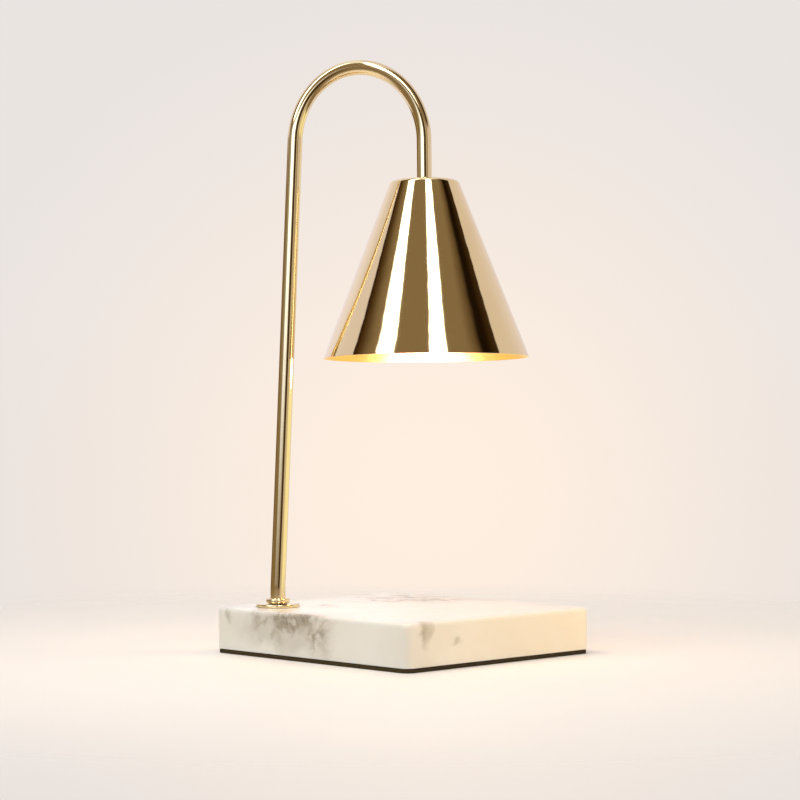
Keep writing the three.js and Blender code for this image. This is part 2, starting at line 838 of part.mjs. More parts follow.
function leadStations(side) {
  const across = side * leadOffset;
  const gripEnd = new THREE.Vector3(leadRun + crimpGrip, side * crimpOffset, leadRunLevel);
  const run = Array.from({ length: spreadSteps + 1 }, (_, i) => {
    const share = i / spreadSteps;
    const x = leadRun + (leadBendRadius - leadRun) * share;
    return new THREE.Vector3(x, eased(side * crimpOffset, across, share), leadRunLevel);
  });
  const bend = Array.from({ length: bendSteps }, (_, i) => {
    const angle = (Math.PI / 2) * ((i + 1) / bendSteps);
    const x = leadBendRadius * (1 - Math.sin(angle));
    const z = leadRunLevel + leadBendRadius * (1 - Math.cos(angle));
    return new THREE.Vector3(x, across, z);
  });
  const inTube = tubeLine.map((point) => point.clone().addScaledVector(archNormal, across));
  const straightEnd = shadeStudEnd - leadStraight;
  const upper = Array.from({ length: spreadSteps + 1 }, (_, i) => {
    const share = i / spreadSteps;
    const z = straightEnd + (coverTop + leadStraight - straightEnd) * share;
    return new THREE.Vector3(0, eased(across, side * pinCircle, share), z);
  });
  const tip = new THREE.Vector3(0, side * pinCircle, coverBottom);
  const underShade = [...upper, tip].map((point) => point.applyMatrix4(drop.matrix));
  return [gripEnd, ...run, ...bend, ...inTube, ...underShade];
}

// A closed-end crimp cap, lying along +X with its mouth at the origin
function crimpGeometry() {
  const bottom = crimpGrip + slideGap;
  return revolve(
    [
      at(0, -crimpLength),
      ...arc(0, crimpRadius - crimpLength, crimpRadius, -90, 0, domeSteps).slice(1),
      at(crimpRadius, 0),
      at(crimpBoreRadius, 0),
      at(crimpBoreRadius, -bottom),
      at(0, -bottom),
    ],
    smallSides,
  ).rotateY(-Math.PI / 2);
}

const leadSide = { line: 1, neutral: -1 };
const leadFinishes = { line: brownLeadFinish, neutral: blueLeadFinish };
for (const [name, side] of Object.entries(leadSide)) {
  add(arm, `lead_${name}`, sweep(leadStations(side), leadRadius, leadSides), leadFinishes[name]);
  const crimp = add(arm, `crimp_${name}`, crimpGeometry(), whitePlasticFinish);
  crimp.position.set(leadRun, side * crimpOffset, leadRunLevel);
}

// Bulb: a reflector spotlight whose two stepped pins turn in the lampholder's slots

const bulbBaseRadius = bulbBaseDiameter / 2;
const bulbNeckRadius = bulbNeckDiameter / 2;
const bulbRadius = bulbDiameter / 2;
const capsuleRadius = capsuleDiameter / 2;
const filamentLegTop = -capsuleSeatDepth + filamentLegGrip;
const filamentLegHole = filamentWire / 2 + slideGap;

function bulbBaseGeometry() {
  const neckBore = bulbNeckRadius + slideGap;
  const capsuleBore = capsuleRadius + slideGap;
  const neckSeat = bulbNeckGrip - bulbBaseLength;
  const flareRadius = bulbBaseRadius + bulbBaseFlare;
  const body = revolve([
    at(0, -capsuleSeatDepth),
    at(capsuleBore, -capsuleSeatDepth),
    at(capsuleBore, neckSeat),
    at(neckBore, neckSeat),
    at(neckBore, -bulbBaseLength),
    at(flareRadius, -bulbBaseLength),
    at(flareRadius, bulbBaseFlareHeight / 2 - bulbBaseLength),
    at(bulbBaseRadius, bulbBaseFlareHeight - bulbBaseLength),
    at(bulbBaseRadius, -bulbBaseEdge),
    at(bulbBaseRadius - bulbBaseEdge, 0),
    at(0, 0),
  ]);
  const pinHoles = [-1, 1].map((side) =>
    cylinder(pinNeckRadius + slideGap, pinGrip + seatGap + cutOverrun, smallSides).translate(
      0,
      side * pinCircle,
      -pinGrip - seatGap,
    ),
  );
  const legHoles = [-filamentCoilDiameter / 2, filamentReturnOffset].map((x) =>
    cylinder(filamentLegHole, filamentLegGrip + seatGap + cutOverrun, leadSides).translate(
      x,
      0,
      -capsuleSeatDepth - cutOverrun,
    ),
  );
  return cut(body, ...pinHoles, ...legHoles);
}

// Points down the reflector's flare, from the neck to the rim
function flare(neckRadius, rimRadius) {
  const start = -bulbBaseLength - bulbNeckHeight;
  const end = bulbRimHeight - bulbLength;
  return Array.from({ length: flareSteps + 1 }, (_, i) => {
    const share = i / flareSteps;
    const radius = neckRadius + (rimRadius - neckRadius) * share ** flareShare;
    return at(radius, start + (end - start) * share);
  });
}

function reflectorGeometry() {
  const neckTop = bulbNeckGrip - bulbBaseLength - seatGap;
  const rimInner = bulbRadius - bulbGlassWall;
  const ledge = lensRecess + lensThickness + seatGap - bulbLength;
  const outer = flare(bulbNeckRadius, bulbRadius - bulbGlassWall / 2).reverse();
  const inner = flare(bulbNeckRadius - bulbGlassWall, rimInner - bulbGlassWall);
  return revolve([
    at(rimInner, -bulbLength),
    at(bulbRadius, -bulbLength),
    at(bulbRadius, bulbRimHeight - bulbLength - bulbGlassWall / 2),
    ...outer,
    at(bulbNeckRadius, neckTop),
    at(bulbNeckRadius - bulbGlassWall, neckTop),
    ...inner,
    at(rimInner - bulbGlassWall, ledge),
    at(rimInner, ledge),
    at(rimInner, -bulbLength),
  ]);
}

function lensGeometry() {
  const radius = bulbRadius - bulbGlassWall - slideGap;
  return cylinder(radius, lensThickness);
}

// A quartz tube closed by a dome, open in the base
function capsuleGeometry() {
  const top = -capsuleSeatDepth - seatGap;
  const inner = capsuleRadius - capsuleWall;
  const domeCentre = top - capsuleLength + capsuleRadius;
  return revolve(
    [
      at(0, domeCentre - capsuleRadius),
      ...arc(0, domeCentre, capsuleRadius, -90, 0, domeSteps).slice(1),
      at(capsuleRadius, top),
      at(inner, top),
      ...arc(0, domeCentre, inner, 0, -90, domeSteps).slice(0, -1),
      at(0, domeCentre - inner),
    ],
    smallSides,
  );
}

// One wire: down a leg, round the coil and back up the other leg
function filamentGeometry() {
  const coilRadius = filamentCoilDiameter / 2;
  const coilHeight = filamentCoilPitch * filamentTurns;
  const coilBottom = -capsuleSeatDepth - seatGap - capsuleLength + capsuleWall + filamentTipRoom;
  const coilTop = coilBottom + coilHeight;
  const steps = filamentTurns * filamentStepsPerTurn + filamentStepsPerTurn / 2;
  const coil = Array.from({ length: steps + 1 }, (_, i) => {
    const angle = Math.PI + (2 * Math.PI * i) / filamentStepsPerTurn;
    const z = coilTop - (coilHeight * i) / steps;
    return new THREE.Vector3(coilRadius * Math.cos(angle), coilRadius * Math.sin(angle), z);
  });
  return sweep(
    [
      new THREE.Vector3(-coilRadius, 0, filamentLegTop),
      new THREE.Vector3(-coilRadius, 0, coilTop + filamentCoilPitch),
      ...coil,
      new THREE.Vector3(filamentReturnOffset, 0, coilBottom),
      new THREE.Vector3(filamentReturnOffset, 0, filamentLegTop),
    ],
    filamentWire / 2,
    leadSides,
  );
}

// A stepped pin: the narrow neck runs in the slot, and the head behind the face plate holds the bulb up
function pinGeometry() {
  const neckBottom = -pinGrip;
  const headBottom = headUnderside - bulbTop;
  const headTop = headBottom + pinHeadLength;
  return revolve(
    [
      at(0, neckBottom),
      at(pinNeckRadius, neckBottom),
      at(pinNeckRadius, headBottom),
      at(pinHeadRadius, headBottom),
      at(pinHeadRadius, headTop - pinEdge),
      at(pinHeadRadius - pinEdge, headTop),
      at(0, headTop),
    ],
    smallSides,
  );
}

add(bulb, "bulb_base", bulbBaseGeometry(), ceramicFinish);
add(bulb, "bulb_reflector", reflectorGeometry(), mirrorFinish);
addAt(bulb, "bulb_lens", lensGeometry(), glassFinish, lensRecess - bulbLength);
add(bulb, "bulb_capsule", capsuleGeometry(), glassFinish);
add(bulb, "bulb_filament", filamentGeometry(), tungstenFinish);
add(bulb, "bulb_pin_line", pinGeometry(), nickelFinish).position.y = pinCircle;
add(bulb, "bulb_pin_neutral", pinGeometry(), nickelFinish).position.y = -pinCircle;

export default lamp;
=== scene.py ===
import json
import math

import bmesh
import bpy
from mathutils import Matrix, Quaternion, Vector


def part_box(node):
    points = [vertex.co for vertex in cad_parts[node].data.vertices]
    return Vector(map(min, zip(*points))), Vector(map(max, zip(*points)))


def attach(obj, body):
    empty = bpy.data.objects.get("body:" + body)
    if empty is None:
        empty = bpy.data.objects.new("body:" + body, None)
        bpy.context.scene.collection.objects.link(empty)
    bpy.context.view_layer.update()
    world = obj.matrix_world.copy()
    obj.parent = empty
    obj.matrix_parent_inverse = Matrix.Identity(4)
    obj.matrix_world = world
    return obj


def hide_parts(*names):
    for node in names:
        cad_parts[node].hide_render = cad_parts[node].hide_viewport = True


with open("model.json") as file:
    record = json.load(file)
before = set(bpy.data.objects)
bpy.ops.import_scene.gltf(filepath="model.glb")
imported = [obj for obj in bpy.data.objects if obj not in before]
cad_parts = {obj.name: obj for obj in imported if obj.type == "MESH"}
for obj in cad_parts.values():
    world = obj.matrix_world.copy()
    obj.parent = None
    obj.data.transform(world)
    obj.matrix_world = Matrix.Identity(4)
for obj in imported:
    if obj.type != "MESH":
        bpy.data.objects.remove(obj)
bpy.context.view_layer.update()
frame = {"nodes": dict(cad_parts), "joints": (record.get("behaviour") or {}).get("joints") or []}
mm = 0.001
print("frame loaded:", len(frame["nodes"]), "nodes")


# Shared tools

def linearColour(hexColour):  # sRGB hex to the linear values that sockets take
    parts = [((hexColour >> shift) & 255) / 255 for shift in (16, 8, 0)]
    return [p / 12.92 if p <= 0.04045 else ((p + 0.055) / 1.055) ** 2.4 for p in parts] + [1.0]


def wire(tree, node, values=None, links=None):
    # sets a node's inputs; a link's source is a socket, or a node for the first output that it shows
    for key, value in (values or {}).items():
        node.inputs[key].default_value = value
    for key, source in (links or {}).items():
        shown = next(s for s in source.outputs if s.enabled) if hasattr(source, "outputs") else source
        tree.links.new(shown, node.inputs[key])
    return node


def addNode(tree, kind, values=None, links=None, **settings):
    made = tree.nodes.new(kind)
    for key, value in settings.items():
        setattr(made, key, value)
    return wire(tree, made, values, links)


def newMaterial(name):
    material = bpy.data.materials.new(name)
    material.use_nodes = True
    tree = material.node_tree
    tree.nodes.clear()
    shader = addNode(tree, "ShaderNodeBsdfPrincipled")
    addNode(tree, "ShaderNodeOutputMaterial", links={"Surface": shader})
    place = addNode(tree, "ShaderNodeTexCoord").outputs["Object"]
    return material, tree, shader, place


def ramp(tree, source, stops):  # stops are (position, grey or hex colour)
    made = addNode(tree, "ShaderNodeValToRGB", links={"Fac": source})
    made.color_ramp.interpolation = "EASE"
    elements = made.color_ramp.elements
    while len(elements) < len(stops):
        elements.new(0.5)
    for element, (position, tone) in zip(elements, stops):
        element.position = position
        element.color = linearColour(tone) if isinstance(tone, int) else [tone, tone, tone, 1.0]
    return made


def placed(name, data):  # a new object in the scene
    made = bpy.data.objects.new(name, data)
    bpy.context.scene.collection.objects.link(made)
    return made


def meshFrom(edit, name):
    mesh = bpy.data.meshes.new(name)
    edit.to_mesh(mesh)
    edit.free()
    return mesh


sharpAngles = {"drawn": 38, "cut": 30, "framed": 34}  # degrees past which an edge is shaded sharp


def smoothed(mesh, sharpAngle):
    mesh.shade_smooth()
    mesh.set_sharp_from_angle(angle=math.radians(sharpAngle))


# guard and least rounding in mm, the share of a side that one may take, and the flattest corner in degrees
rounding = {"guard": 0.06, "least": 1e-4, "share": 0.45, "flattest": 172}


def filleted(points, radius, steps=6, closed=False):
    # rounds each corner of a profile, with a guard point on both sides that keeps flat faces flat
    guard = rounding["guard"]
    made = []
    for i, point in enumerate(points):
        if not closed and i in (0, len(points) - 1):
            made.append(Vector(point))
            continue
        here = Vector(point)
        before = Vector(points[i - 1]) - here
        after = Vector(points[(i + 1) % len(points)]) - here
        turn = before.angle(after)
        room = min(before.length, after.length) * rounding["share"]
        back = min(radius / math.tan(turn / 2), room)
        if back < rounding["least"] or turn > math.radians(rounding["flattest"]):
            made.append(here)
            continue
        before.normalize()
        after.normalize()
        arcRadius = back * math.tan(turn / 2)
        centre = here + (before + after).normalized() * (arcRadius / math.sin(turn / 2))
        start = here + before * back - centre
        end = here + after * back - centre
        sweep = start.angle_signed(end)
        reach = back + min(guard, room - back + guard / 4)
        made.append(here + before * reach)
        for step in range(steps + 1):
            angle = -sweep * step / steps
            made.append(centre + Vector((
                start.x * math.cos(angle) - start.y * math.sin(angle),
                start.x * math.sin(angle) + start.y * math.cos(angle),
            )))
        made.append(here + after * reach)
    return made


def arcPoints(x, z, radius, start, end, steps):
    angles = [math.radians(start + (end - start) * i / steps) for i in range(steps + 1)]
    return [Vector((x + radius * math.cos(a), z + radius * math.sin(a))) for a in angles]


def pieceFrom(name, mesh, place):
    # places a mesh that is drawn in millimetres, welds it, turns its faces out and shades it smooth
    mesh.transform(Matrix.Scale(mm, 4) @ place)
    edit = bmesh.new()
    edit.from_mesh(mesh)
    bmesh.ops.remove_doubles(edit, verts=edit.verts, dist=1e-7)
    bmesh.ops.recalc_face_normals(edit, faces=edit.faces)
    if edit.calc_volume(signed=True) < 0:
        bmesh.ops.reverse_faces(edit, faces=edit.faces)
    edit.to_mesh(mesh)
    edit.free()
    smoothed(mesh, sharpAngles["drawn"])
    return placed(name, mesh)


def turned(name, profile, place, sides=96, closed=True):
    # a body of revolution about +Z; the profile is (radius, height)
    edit = bmesh.new()
    rings = []
    for radius, height in profile:
        if radius < 1e-6:
            rings.append([edit.verts.new((0, 0, height))] * sides)
            continue
        rings.append([
            edit.verts.new((
                radius * math.cos(2 * math.pi * k / sides),
                radius * math.sin(2 * math.pi * k / sides),
                height,
            ))
            for k in range(sides)
        ])
    pairs = list(zip(rings, rings[1:])) + ([(rings[-1], rings[0])] if closed else [])
    for lower, upper in pairs:
        for k in range(sides):
            n = (k + 1) % sides
            corners = [lower[k], lower[n], upper[n], upper[k]]
            corners = [c for i, c in enumerate(corners) if c not in corners[:i]]
            if len(corners) > 2:
                edit.faces.new(corners)
    return pieceFrom(name, meshFrom(edit, name), place)


def roundedOutline(length, width, radius, steps):
    outline = []
    for cornerX, cornerY, start in ((1, 1, 0), (-1, 1, 90), (-1, -1, 180), (1, -1, 270)):
        x = cornerX * (length / 2 - radius)
        y = cornerY * (width / 2 - radius)
        outline += arcPoints(x, y, radius, start, start + 90, steps)
    return outline


def lofted(name, outlines, place):
    # stacks outlines of equal point count, each given with its height, and caps both ends
    edit = bmesh.new()
    rows = [[edit.verts.new((p.x, p.y, z)) for p in outline] for outline, z in outlines]
    for lower, upper in zip(rows, rows[1:]):
        for k in range(len(lower)):
            n = (k + 1) % len(lower)
            edit.faces.new([lower[k], lower[n], upper[n], upper[k]])
    edit.faces.new(rows[0][::-1])
    edit.faces.new(rows[-1])
    return pieceFrom(name, meshFrom(edit, name), place)


def applied(piece):
    # the piece with its modifiers made part of its mesh
    depsgraph = bpy.context.evaluated_depsgraph_get()
    mesh = bpy.data.meshes.new_from_object(piece.evaluated_get(depsgraph))
    piece.modifiers.clear()
    piece.data = mesh
    return piece


def cutBy(piece, tools):
    for tool in tools:
        cut = piece.modifiers.new("cut", "BOOLEAN")
        cut.operation = "DIFFERENCE"
        cut.solver = "EXACT"
        cut.object = tool
    applied(piece)
    for tool in tools:
        bpy.data.objects.remove(tool)
    smoothed(piece.data, sharpAngles["cut"])
    return piece


def finishPiece(piece, body, slot, *materials, replaces=()):
    piece.data.materials.clear()
    for material in materials:
        piece.data.materials.append(material)
    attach(piece, body)
    if replaces:
        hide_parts(*replaces)
    return piece


# Camera

cameraView = {"focal": 108, "sensor": 36, "x": -1.36, "y": -1256, "z": 132.3}
cameraData = bpy.data.cameras.new("camera")
cameraData.lens = cameraView["focal"]
cameraData.sensor_width = cameraView["sensor"]
camera = placed("camera", cameraData)
camera.location = [cameraView[axis] * mm for axis in "xyz"]
camera.rotation_euler = (math.pi / 2, 0, 0)
bpy.context.scene.camera = camera
print("camera placed")


# Materials

brassGrain = {"spinning": 22, "hairline": 0.9, "smooth": 0.75, "rough": 1.35, "shadow": 0x060809}


def polishedBrass(name, hexColour, roughness, wave, scratch):
    # Spun and buffed brass: mirror-like, with long shallow waves from spinning and hairlines from the wheel
    material, tree, shader, place = newMaterial(name)
    g = brassGrain
    spread = addNode(
        tree, "ShaderNodeTexNoise", {"Scale": 1 / (g["spinning"] * mm), "Detail": 2.0}, {"Vector": place})
    tint = addNode(
        tree, "ShaderNodeMix", {"A": linearColour(hexColour), "B": linearColour(hexColour - g["shadow"])},
        {"Factor": spread}, data_type="RGBA",
    )
    fine = addNode(
        tree, "ShaderNodeTexNoise", {"Scale": 1 / (g["hairline"] * mm), "Detail": 3.0}, {"Vector": place})
    gloss = addNode(
        tree, "ShaderNodeMapRange", {"To Min": roughness * g["smooth"], "To Max": roughness * g["rough"]},
        {"Value": fine},
    )
    slow = addNode(tree, "ShaderNodeBump", {"Distance": wave * mm}, {"Height": spread})
    hair = addNode(
        tree, "ShaderNodeBump", {"Distance": scratch * mm},
        {"Height": fine, "Normal": slow},
    )
    wire(tree, shader, {"Metallic": 1.0}, {"Base Color": tint, "Roughness": gloss, "Normal": hair})
    return material


marbleVeins = [
    # each cloud's middle, half sizes and turn, and the shares of its mottling and of the even mist under it
    ((-58, -38, 21), (33, 13, 6.5), -45, 1.0, 0.3),
    ((-60, -36, 15), (37, 15, 12), -45, 0.25, 0.42),
    ((-70, -26, 14), (10, 12, 11), -45, 0.6, 0.2),
    ((-43, -54, 13), (11, 12, 12), -45, 0.65, 0.2),
    ((-89, -7, 20), (4, 8, 3.5), -45, 0.45, 0.1),
    # the single brown vein just right of the front corner, and the faint spot beside it
    ((11.4, -86.9, 18.5), (9, 5, 10), -45, 0.5, 0.5),
    ((25.7, -74.7, 14.2), (4, 6, 3), -45, 0.35, 0.0),
    # the top a little darker in front of the pole, made in the same way as the clouds
    ((-42, 6, 24), (12, 14, 4), 0, 0.4, 0.0),
]
# sizes in mm of the marble's patterns and of how far the slowest one pushes the others
marbleGrain = {"drift": 16, "push": 16, "broad": 48, "cloud": 10, "curl": 7, "crystal": 0.8}


def carraraMarble():
    # Carrara marble, polished: warm white crystal with soft grey-brown clouds and a few fine curling veins
    material, tree, shader, place = newMaterial("carraraMarble")

    def maths(operation, a, b):
        return addNode(tree, "ShaderNodeMath", links={0: a, 1: b}, operation=operation)

    def spread(value, low, high, top=1.0):
        return addNode(
            tree, "ShaderNodeMapRange", {"From Min": low, "From Max": high, "To Max": top}, {"Value": value},
            interpolation_type="SMOOTHSTEP",
        )

    def noise(size, where, **values):
        scale = 1 / (marbleGrain[size] * mm)
        return addNode(tree, "ShaderNodeTexNoise", {"Scale": scale, **values}, {"Vector": where})

    drift = noise("drift", place, Detail=3.0, Roughness=0.55).outputs["Color"]
    push = addNode(tree, "ShaderNodeVectorMath", {1: (0.5, 0.5, 0.5)}, {0: drift}, operation="SUBTRACT")
    bent = addNode(
        tree, "ShaderNodeVectorMath", {1: [marbleGrain["push"] * mm] * 3},
        {0: push, 2: place}, operation="MULTIPLY_ADD",
    )
    patches = veil = None
    for at, half, turn, share, mist in marbleVeins:
        moved = addNode(
            tree, "ShaderNodeMapping",
            {"Location": [c * mm for c in at], "Rotation": (0, 0, math.radians(turn)),
             "Scale": [h * mm for h in half]},
            {"Vector": bent}, vector_type="TEXTURE",
        )
        reach = addNode(tree, "ShaderNodeVectorMath", links={"Vector": moved}, operation="LENGTH")
        patch = spread(reach, 1.15, 0.2, share)
        even = spread(reach, 1.25, 0.45, mist)
        patches = patch if patches is None else maths("MAXIMUM", patches, patch)
        veil = even if veil is None else maths("MAXIMUM", veil, even)

    broad = noise("broad", bent, Detail=3.0)
    depth = addNode(tree, "ShaderNodeSeparateXYZ", links={"Vector": place}).outputs["Y"]
    # the far half, which the photograph hardly shows, is clouded by the noise alone
    far = maths("MULTIPLY", spread(depth, 10 * mm, 40 * mm), spread(broad, 0.5, 0.68, 0.6))
    patches = maths("MAXIMUM", patches, far)

    cloud = noise("cloud", bent, Detail=4.0, Roughness=0.52)
    curl = noise("curl", bent, Detail=3.5, Distortion=1.1)
    mottle = spread(cloud, 0.36, 0.62)
    thread = ramp(tree, curl, [(0.42, 0.0), (0.5, 1.0), (0.58, 0.0)])
    ground = ramp(tree, broad, [(0.35, 0xF1EFE6), (0.65, 0xEAE6DA)])
    clouded = addNode(
        tree, "ShaderNodeMix", {"B": linearColour(0xB2A996)},
        {"Factor": maths("ADD", veil, maths("MULTIPLY", patches, mottle)), "A": ground}, data_type="RGBA",
    )
    fine = maths("MULTIPLY", maths("MULTIPLY", patches, thread), spread(cloud, 0.4, 0.6, 0.75))
    veined = addNode(
        tree, "ShaderNodeMix", {"B": linearColour(0x93877A)}, {"Factor": fine, "A": clouded},
        data_type="RGBA",
    )
    grain = addNode(
        tree, "ShaderNodeTexVoronoi", {"Scale": 1 / (marbleGrain["crystal"] * mm)}, {"Vector": place})
    sparkle = addNode(
        tree, "ShaderNodeMapRange", {"To Min": 0.16, "To Max": 0.24}, {"Value": grain})
    wire(
        tree, shader,
        {"IOR": 1.49, "Subsurface Weight": 0.25, "Subsurface Radius": (1.0, 0.8, 0.55),
         "Subsurface Scale": 4 * mm},
        {"Base Color": veined, "Roughness": sparkle},
    )
    return material


def plainFinish(name, hexColour, roughness, metallic=0.0, grain=0.6, relief=0.02, tone=0x0A0A0A, ior=1.5):
    # a moulded, fired, plated or rolled surface: an even colour with a fine grain in tone, gloss and relief
    material, tree, shader, place = newMaterial(name)
    noise = addNode(
        tree, "ShaderNodeTexNoise", {"Scale": 1 / (grain * mm), "Detail": 4.0, "Roughness": 0.55},
        {"Vector": place},
    )
    colour = ramp(tree, noise, [(0.3, hexColour - tone), (0.7, hexColour)])
    gloss = addNode(
        tree, "ShaderNodeMapRange", {"To Min": roughness * 0.8, "To Max": min(1.0, roughness * 1.2)},
        {"Value": noise},
    )
    bump = addNode(tree, "ShaderNodeBump", {"Distance": relief * mm}, {"Height": noise})
    wire(tree, shader, {"Metallic": metallic}, {"Base Color": colour, "Roughness": gloss, "Normal": bump})
    if not metallic:
        shader.inputs["IOR"].default_value = ior
    return material


def litGlass():
    # Pressed front glass, lit from behind: bright, with the uneven sparkle of thick glass
    material, tree, shader, place = newMaterial("litGlass")
    sparkle = addNode(tree, "ShaderNodeTexVoronoi", {"Scale": 1 / (2.4 * mm)}, {"Vector": place})
    bump = addNode(tree, "ShaderNodeBump", {"Distance": 0.1 * mm}, {"Height": sparkle})
    glow = ramp(tree, sparkle, [(0.1, 0xFFF3D6), (0.7, 0xFFD490)])
    wire(tree, shader, {"Base Color": linearColour(0x8C7C62), "Emission Strength": 0.95, "Roughness": 0.12},
         {"Normal": bump, "Emission Color": glow})
    return material


def clearQuartz():
    # Fused quartz tube: clear, hard and bright at its edges
    material, tree, shader, place = newMaterial("clearQuartz")
    noise = addNode(tree, "ShaderNodeTexNoise", {"Scale": 1 / (6 * mm)}, {"Vector": place})
    bump = addNode(tree, "ShaderNodeBump", {"Distance": 0.02 * mm}, {"Height": noise})
    wire(
        tree, shader,
        {"Base Color": linearColour(0xFFF8EA), "Transmission Weight": 1.0, "Roughness": 0.02, "IOR": 1.46},
        {"Normal": bump},
    )
    return material


def hotTungsten():
    # Drawn tungsten wire at working heat
    material, tree, shader, place = newMaterial("hotTungsten")
    noise = addNode(tree, "ShaderNodeTexNoise", {"Scale": 1 / (0.5 * mm)}, {"Vector": place})
    glow = ramp(tree, noise, [(0.3, 0xFFC46B), (0.7, 0xFFE3B0)])
    wire(
        tree, shader,
        {"Base Color": linearColour(0x6D6A66), "Metallic": 1.0, "Roughness": 0.5, "Emission Strength": 6.0},
        {"Emission Color": glow},
    )
    return material


brass = polishedBrass("polishedBrass", 0xF1DFB3, 0.055, 0.16, 0.0012)
tubeBrass = polishedBrass("drawnBrass", 0xF0DEB4, 0.085, 0.05, 0.0005)
# the shade's inside: the same brass, satin, its colour deepened to gold as painted warm lamp light inside the
# shade
insideBrassPaintedGlow = polishedBrass("satinBrassPaintedGlow", 0xF2CD5D, 0.3, 0.2, 0.01)
marble = carraraMarble()
foam = plainFinish("darkFoam", 0x4F412A, 0.95, grain=1.1, relief=0.12, tone=0x120E0A, ior=1.25)
blackNylon = plainFinish("blackNylon", 0x1E1E20, 0.5, grain=0.35, relief=0.02, tone=0x060606)
whiteNylon = plainFinish("whiteNylon", 0xE6E1D6, 0.45, grain=0.35, relief=0.02)
zincPlate = plainFinish("zincPlate", 0xC4C6C8, 0.3, metallic=1.0, grain=1.2, relief=0.01, tone=0x121212)
steatite = plainFinish("steatite", 0xEFEAE0, 0.5, grain=0.5, relief=0.03, ior=1.55)
mirrorGlass = plainFinish("mirrorGlass", 0xDADBDE, 0.1, metallic=1.0, grain=3.0, relief=0.02)
nickel = plainFinish("nickelPlate", 0xCCC8BE, 0.22, metallic=1.0, grain=0.8, relief=0.005)
bronze = plainFinish("rolledBronze", 0xC09257, 0.3, metallic=1.0, grain=0.6, relief=0.01, tone=0x141008)
brownSilicone = plainFinish("brownSilicone", 0x6E4630, 0.55, grain=0.4, relief=0.01, tone=0x0A0806)
blueSilicone = plainFinish("blueSilicone", 0x3565A4, 0.55, grain=0.4, relief=0.01)
frontGlass = litGlass()
quartz = clearQuartz()
tungsten = hotTungsten()
print("materials made")


# Base

lowSlab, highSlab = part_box("marble_base")
lowPad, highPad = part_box("foot_pad")
footPole = (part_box("pole_flange")[0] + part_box("pole_flange")[1]) / 2 / mm
slabLevel = lowSlab.z / mm
marbleSlab = {
    "length": 142, "width": 136, "height": (highSlab.z - lowSlab.z) / mm,
    "cornerRadius": 5, "cornerSteps": 14, "edgeRadius": 2.5, "edgeSteps": 10, "sawnEdge": 0.3, "turn": 45,
    "seatRadius": 11.75, "seatDepth": 0.3,
    "poleInset": 23.3, "studHole": 3.9, "inletRadius": 4.6, "inletRise": 7.5,
    "wellRadius": 11.5, "wellLength": 14, "wellDepth": 14.4, "overrun": 1,
}
footPad = {"inset": 0.4, "thickness": (highPad.z - lowPad.z) / mm, "edge": 0.45, "edgeSteps": 5}
inletBushing = {
    "bore": 3.2, "radius": 4.3, "flange": 6.5, "sleeve": 11.8, "lip": 1.6, "gap": 0.25,
    "edge": 0.5, "sides": 72,
}
basePlace = Matrix.Translation((0, 0, slabLevel)) @ Matrix.Rotation(-math.radians(marbleSlab["turn"]), 4, "Z")
polePlace = basePlace.inverted() @ Vector((footPole.x, footPole.y, slabLevel))


def slabRow(size, inset, height, corner):
    length, width = size["length"] - 2 * inset, size["width"] - 2 * inset
    return roundedOutline(length, width, corner - inset, size["cornerSteps"]), height


def makeSlab():
    s = marbleSlab
    edge, sawn, height, corner = s["edgeRadius"], s["sawnEdge"], s["height"], s["cornerRadius"]
    rows = [slabRow(s, sawn, 0, corner), slabRow(s, 0, sawn, corner), slabRow(s, 0, sawn * 2, corner)]
    rows.append(slabRow(s, 0, height - edge - sawn, corner))
    for step in range(s["edgeSteps"] + 1):
        angle = math.radians(90 / s["edgeSteps"] * step)
        inset = edge * (1 - math.cos(angle))
        rows.append(slabRow(s, inset, height - edge * (1 - math.sin(angle)), corner))
    rows.append(slabRow(s, edge + sawn, height, corner))
    slab = lofted("marbleBase", rows, basePlace)

    # a hair less than half the width, so that the well's round ends keep a short straight between them
    wellEnd = s["wellRadius"] - 1e-3
    well = roundedOutline(s["wellLength"] + 2 * s["wellRadius"], 2 * s["wellRadius"], wellEnd, 16)
    wellPlace = basePlace @ Matrix.Translation((polePlace.x, polePlace.y, 0))
    middle = Matrix.Translation((s["wellLength"] / 2, 0, 0))
    diagonal = Matrix.Rotation(math.radians(s["turn"]), 4, "Z") @ middle
    # the hole for the stud widens at the top into the flange's seat
    studHole = [(0, -s["overrun"]), (s["studHole"], -s["overrun"]), (s["studHole"], height - s["seatDepth"]),
                (s["seatRadius"], height - s["seatDepth"]), (s["seatRadius"], height + s["overrun"]),
                (0, height + s["overrun"])]
    inlet = [(0, 0), (s["inletRadius"], 0), (s["inletRadius"], s["poleInset"] + s["overrun"]),
             (0, s["poleInset"] + s["overrun"])]
    sideways = Matrix.Translation((0, 0, s["inletRise"])) @ Matrix.Rotation(-math.pi / 2, 4, "Y")
    return cutBy(slab, [
        turned("studTool", studHole, wellPlace, 96, closed=False),
        lofted("wellTool", [(well, -s["overrun"]), (well, s["wellDepth"])], wellPlace @ diagonal),
        turned("inletTool", inlet, wellPlace @ sideways, 48, closed=False),
    ])


def makePad():
    inset, thick, edge, steps = (footPad[key] for key in ("inset", "thickness", "edge", "edgeSteps"))
    corner = marbleSlab["cornerRadius"]
    rows = []
    for step in range(steps + 1):
        angle = math.radians(90 / steps * step)
        further = inset + edge * (1 - math.sin(angle))
        rows.append(slabRow(marbleSlab, further, edge * (1 - math.cos(angle)), corner))
    rows += [(outline, thick - height) for outline, height in reversed(rows)]
    return lofted("footPad", rows, Matrix.Rotation(-math.radians(marbleSlab["turn"]), 4, "Z"))


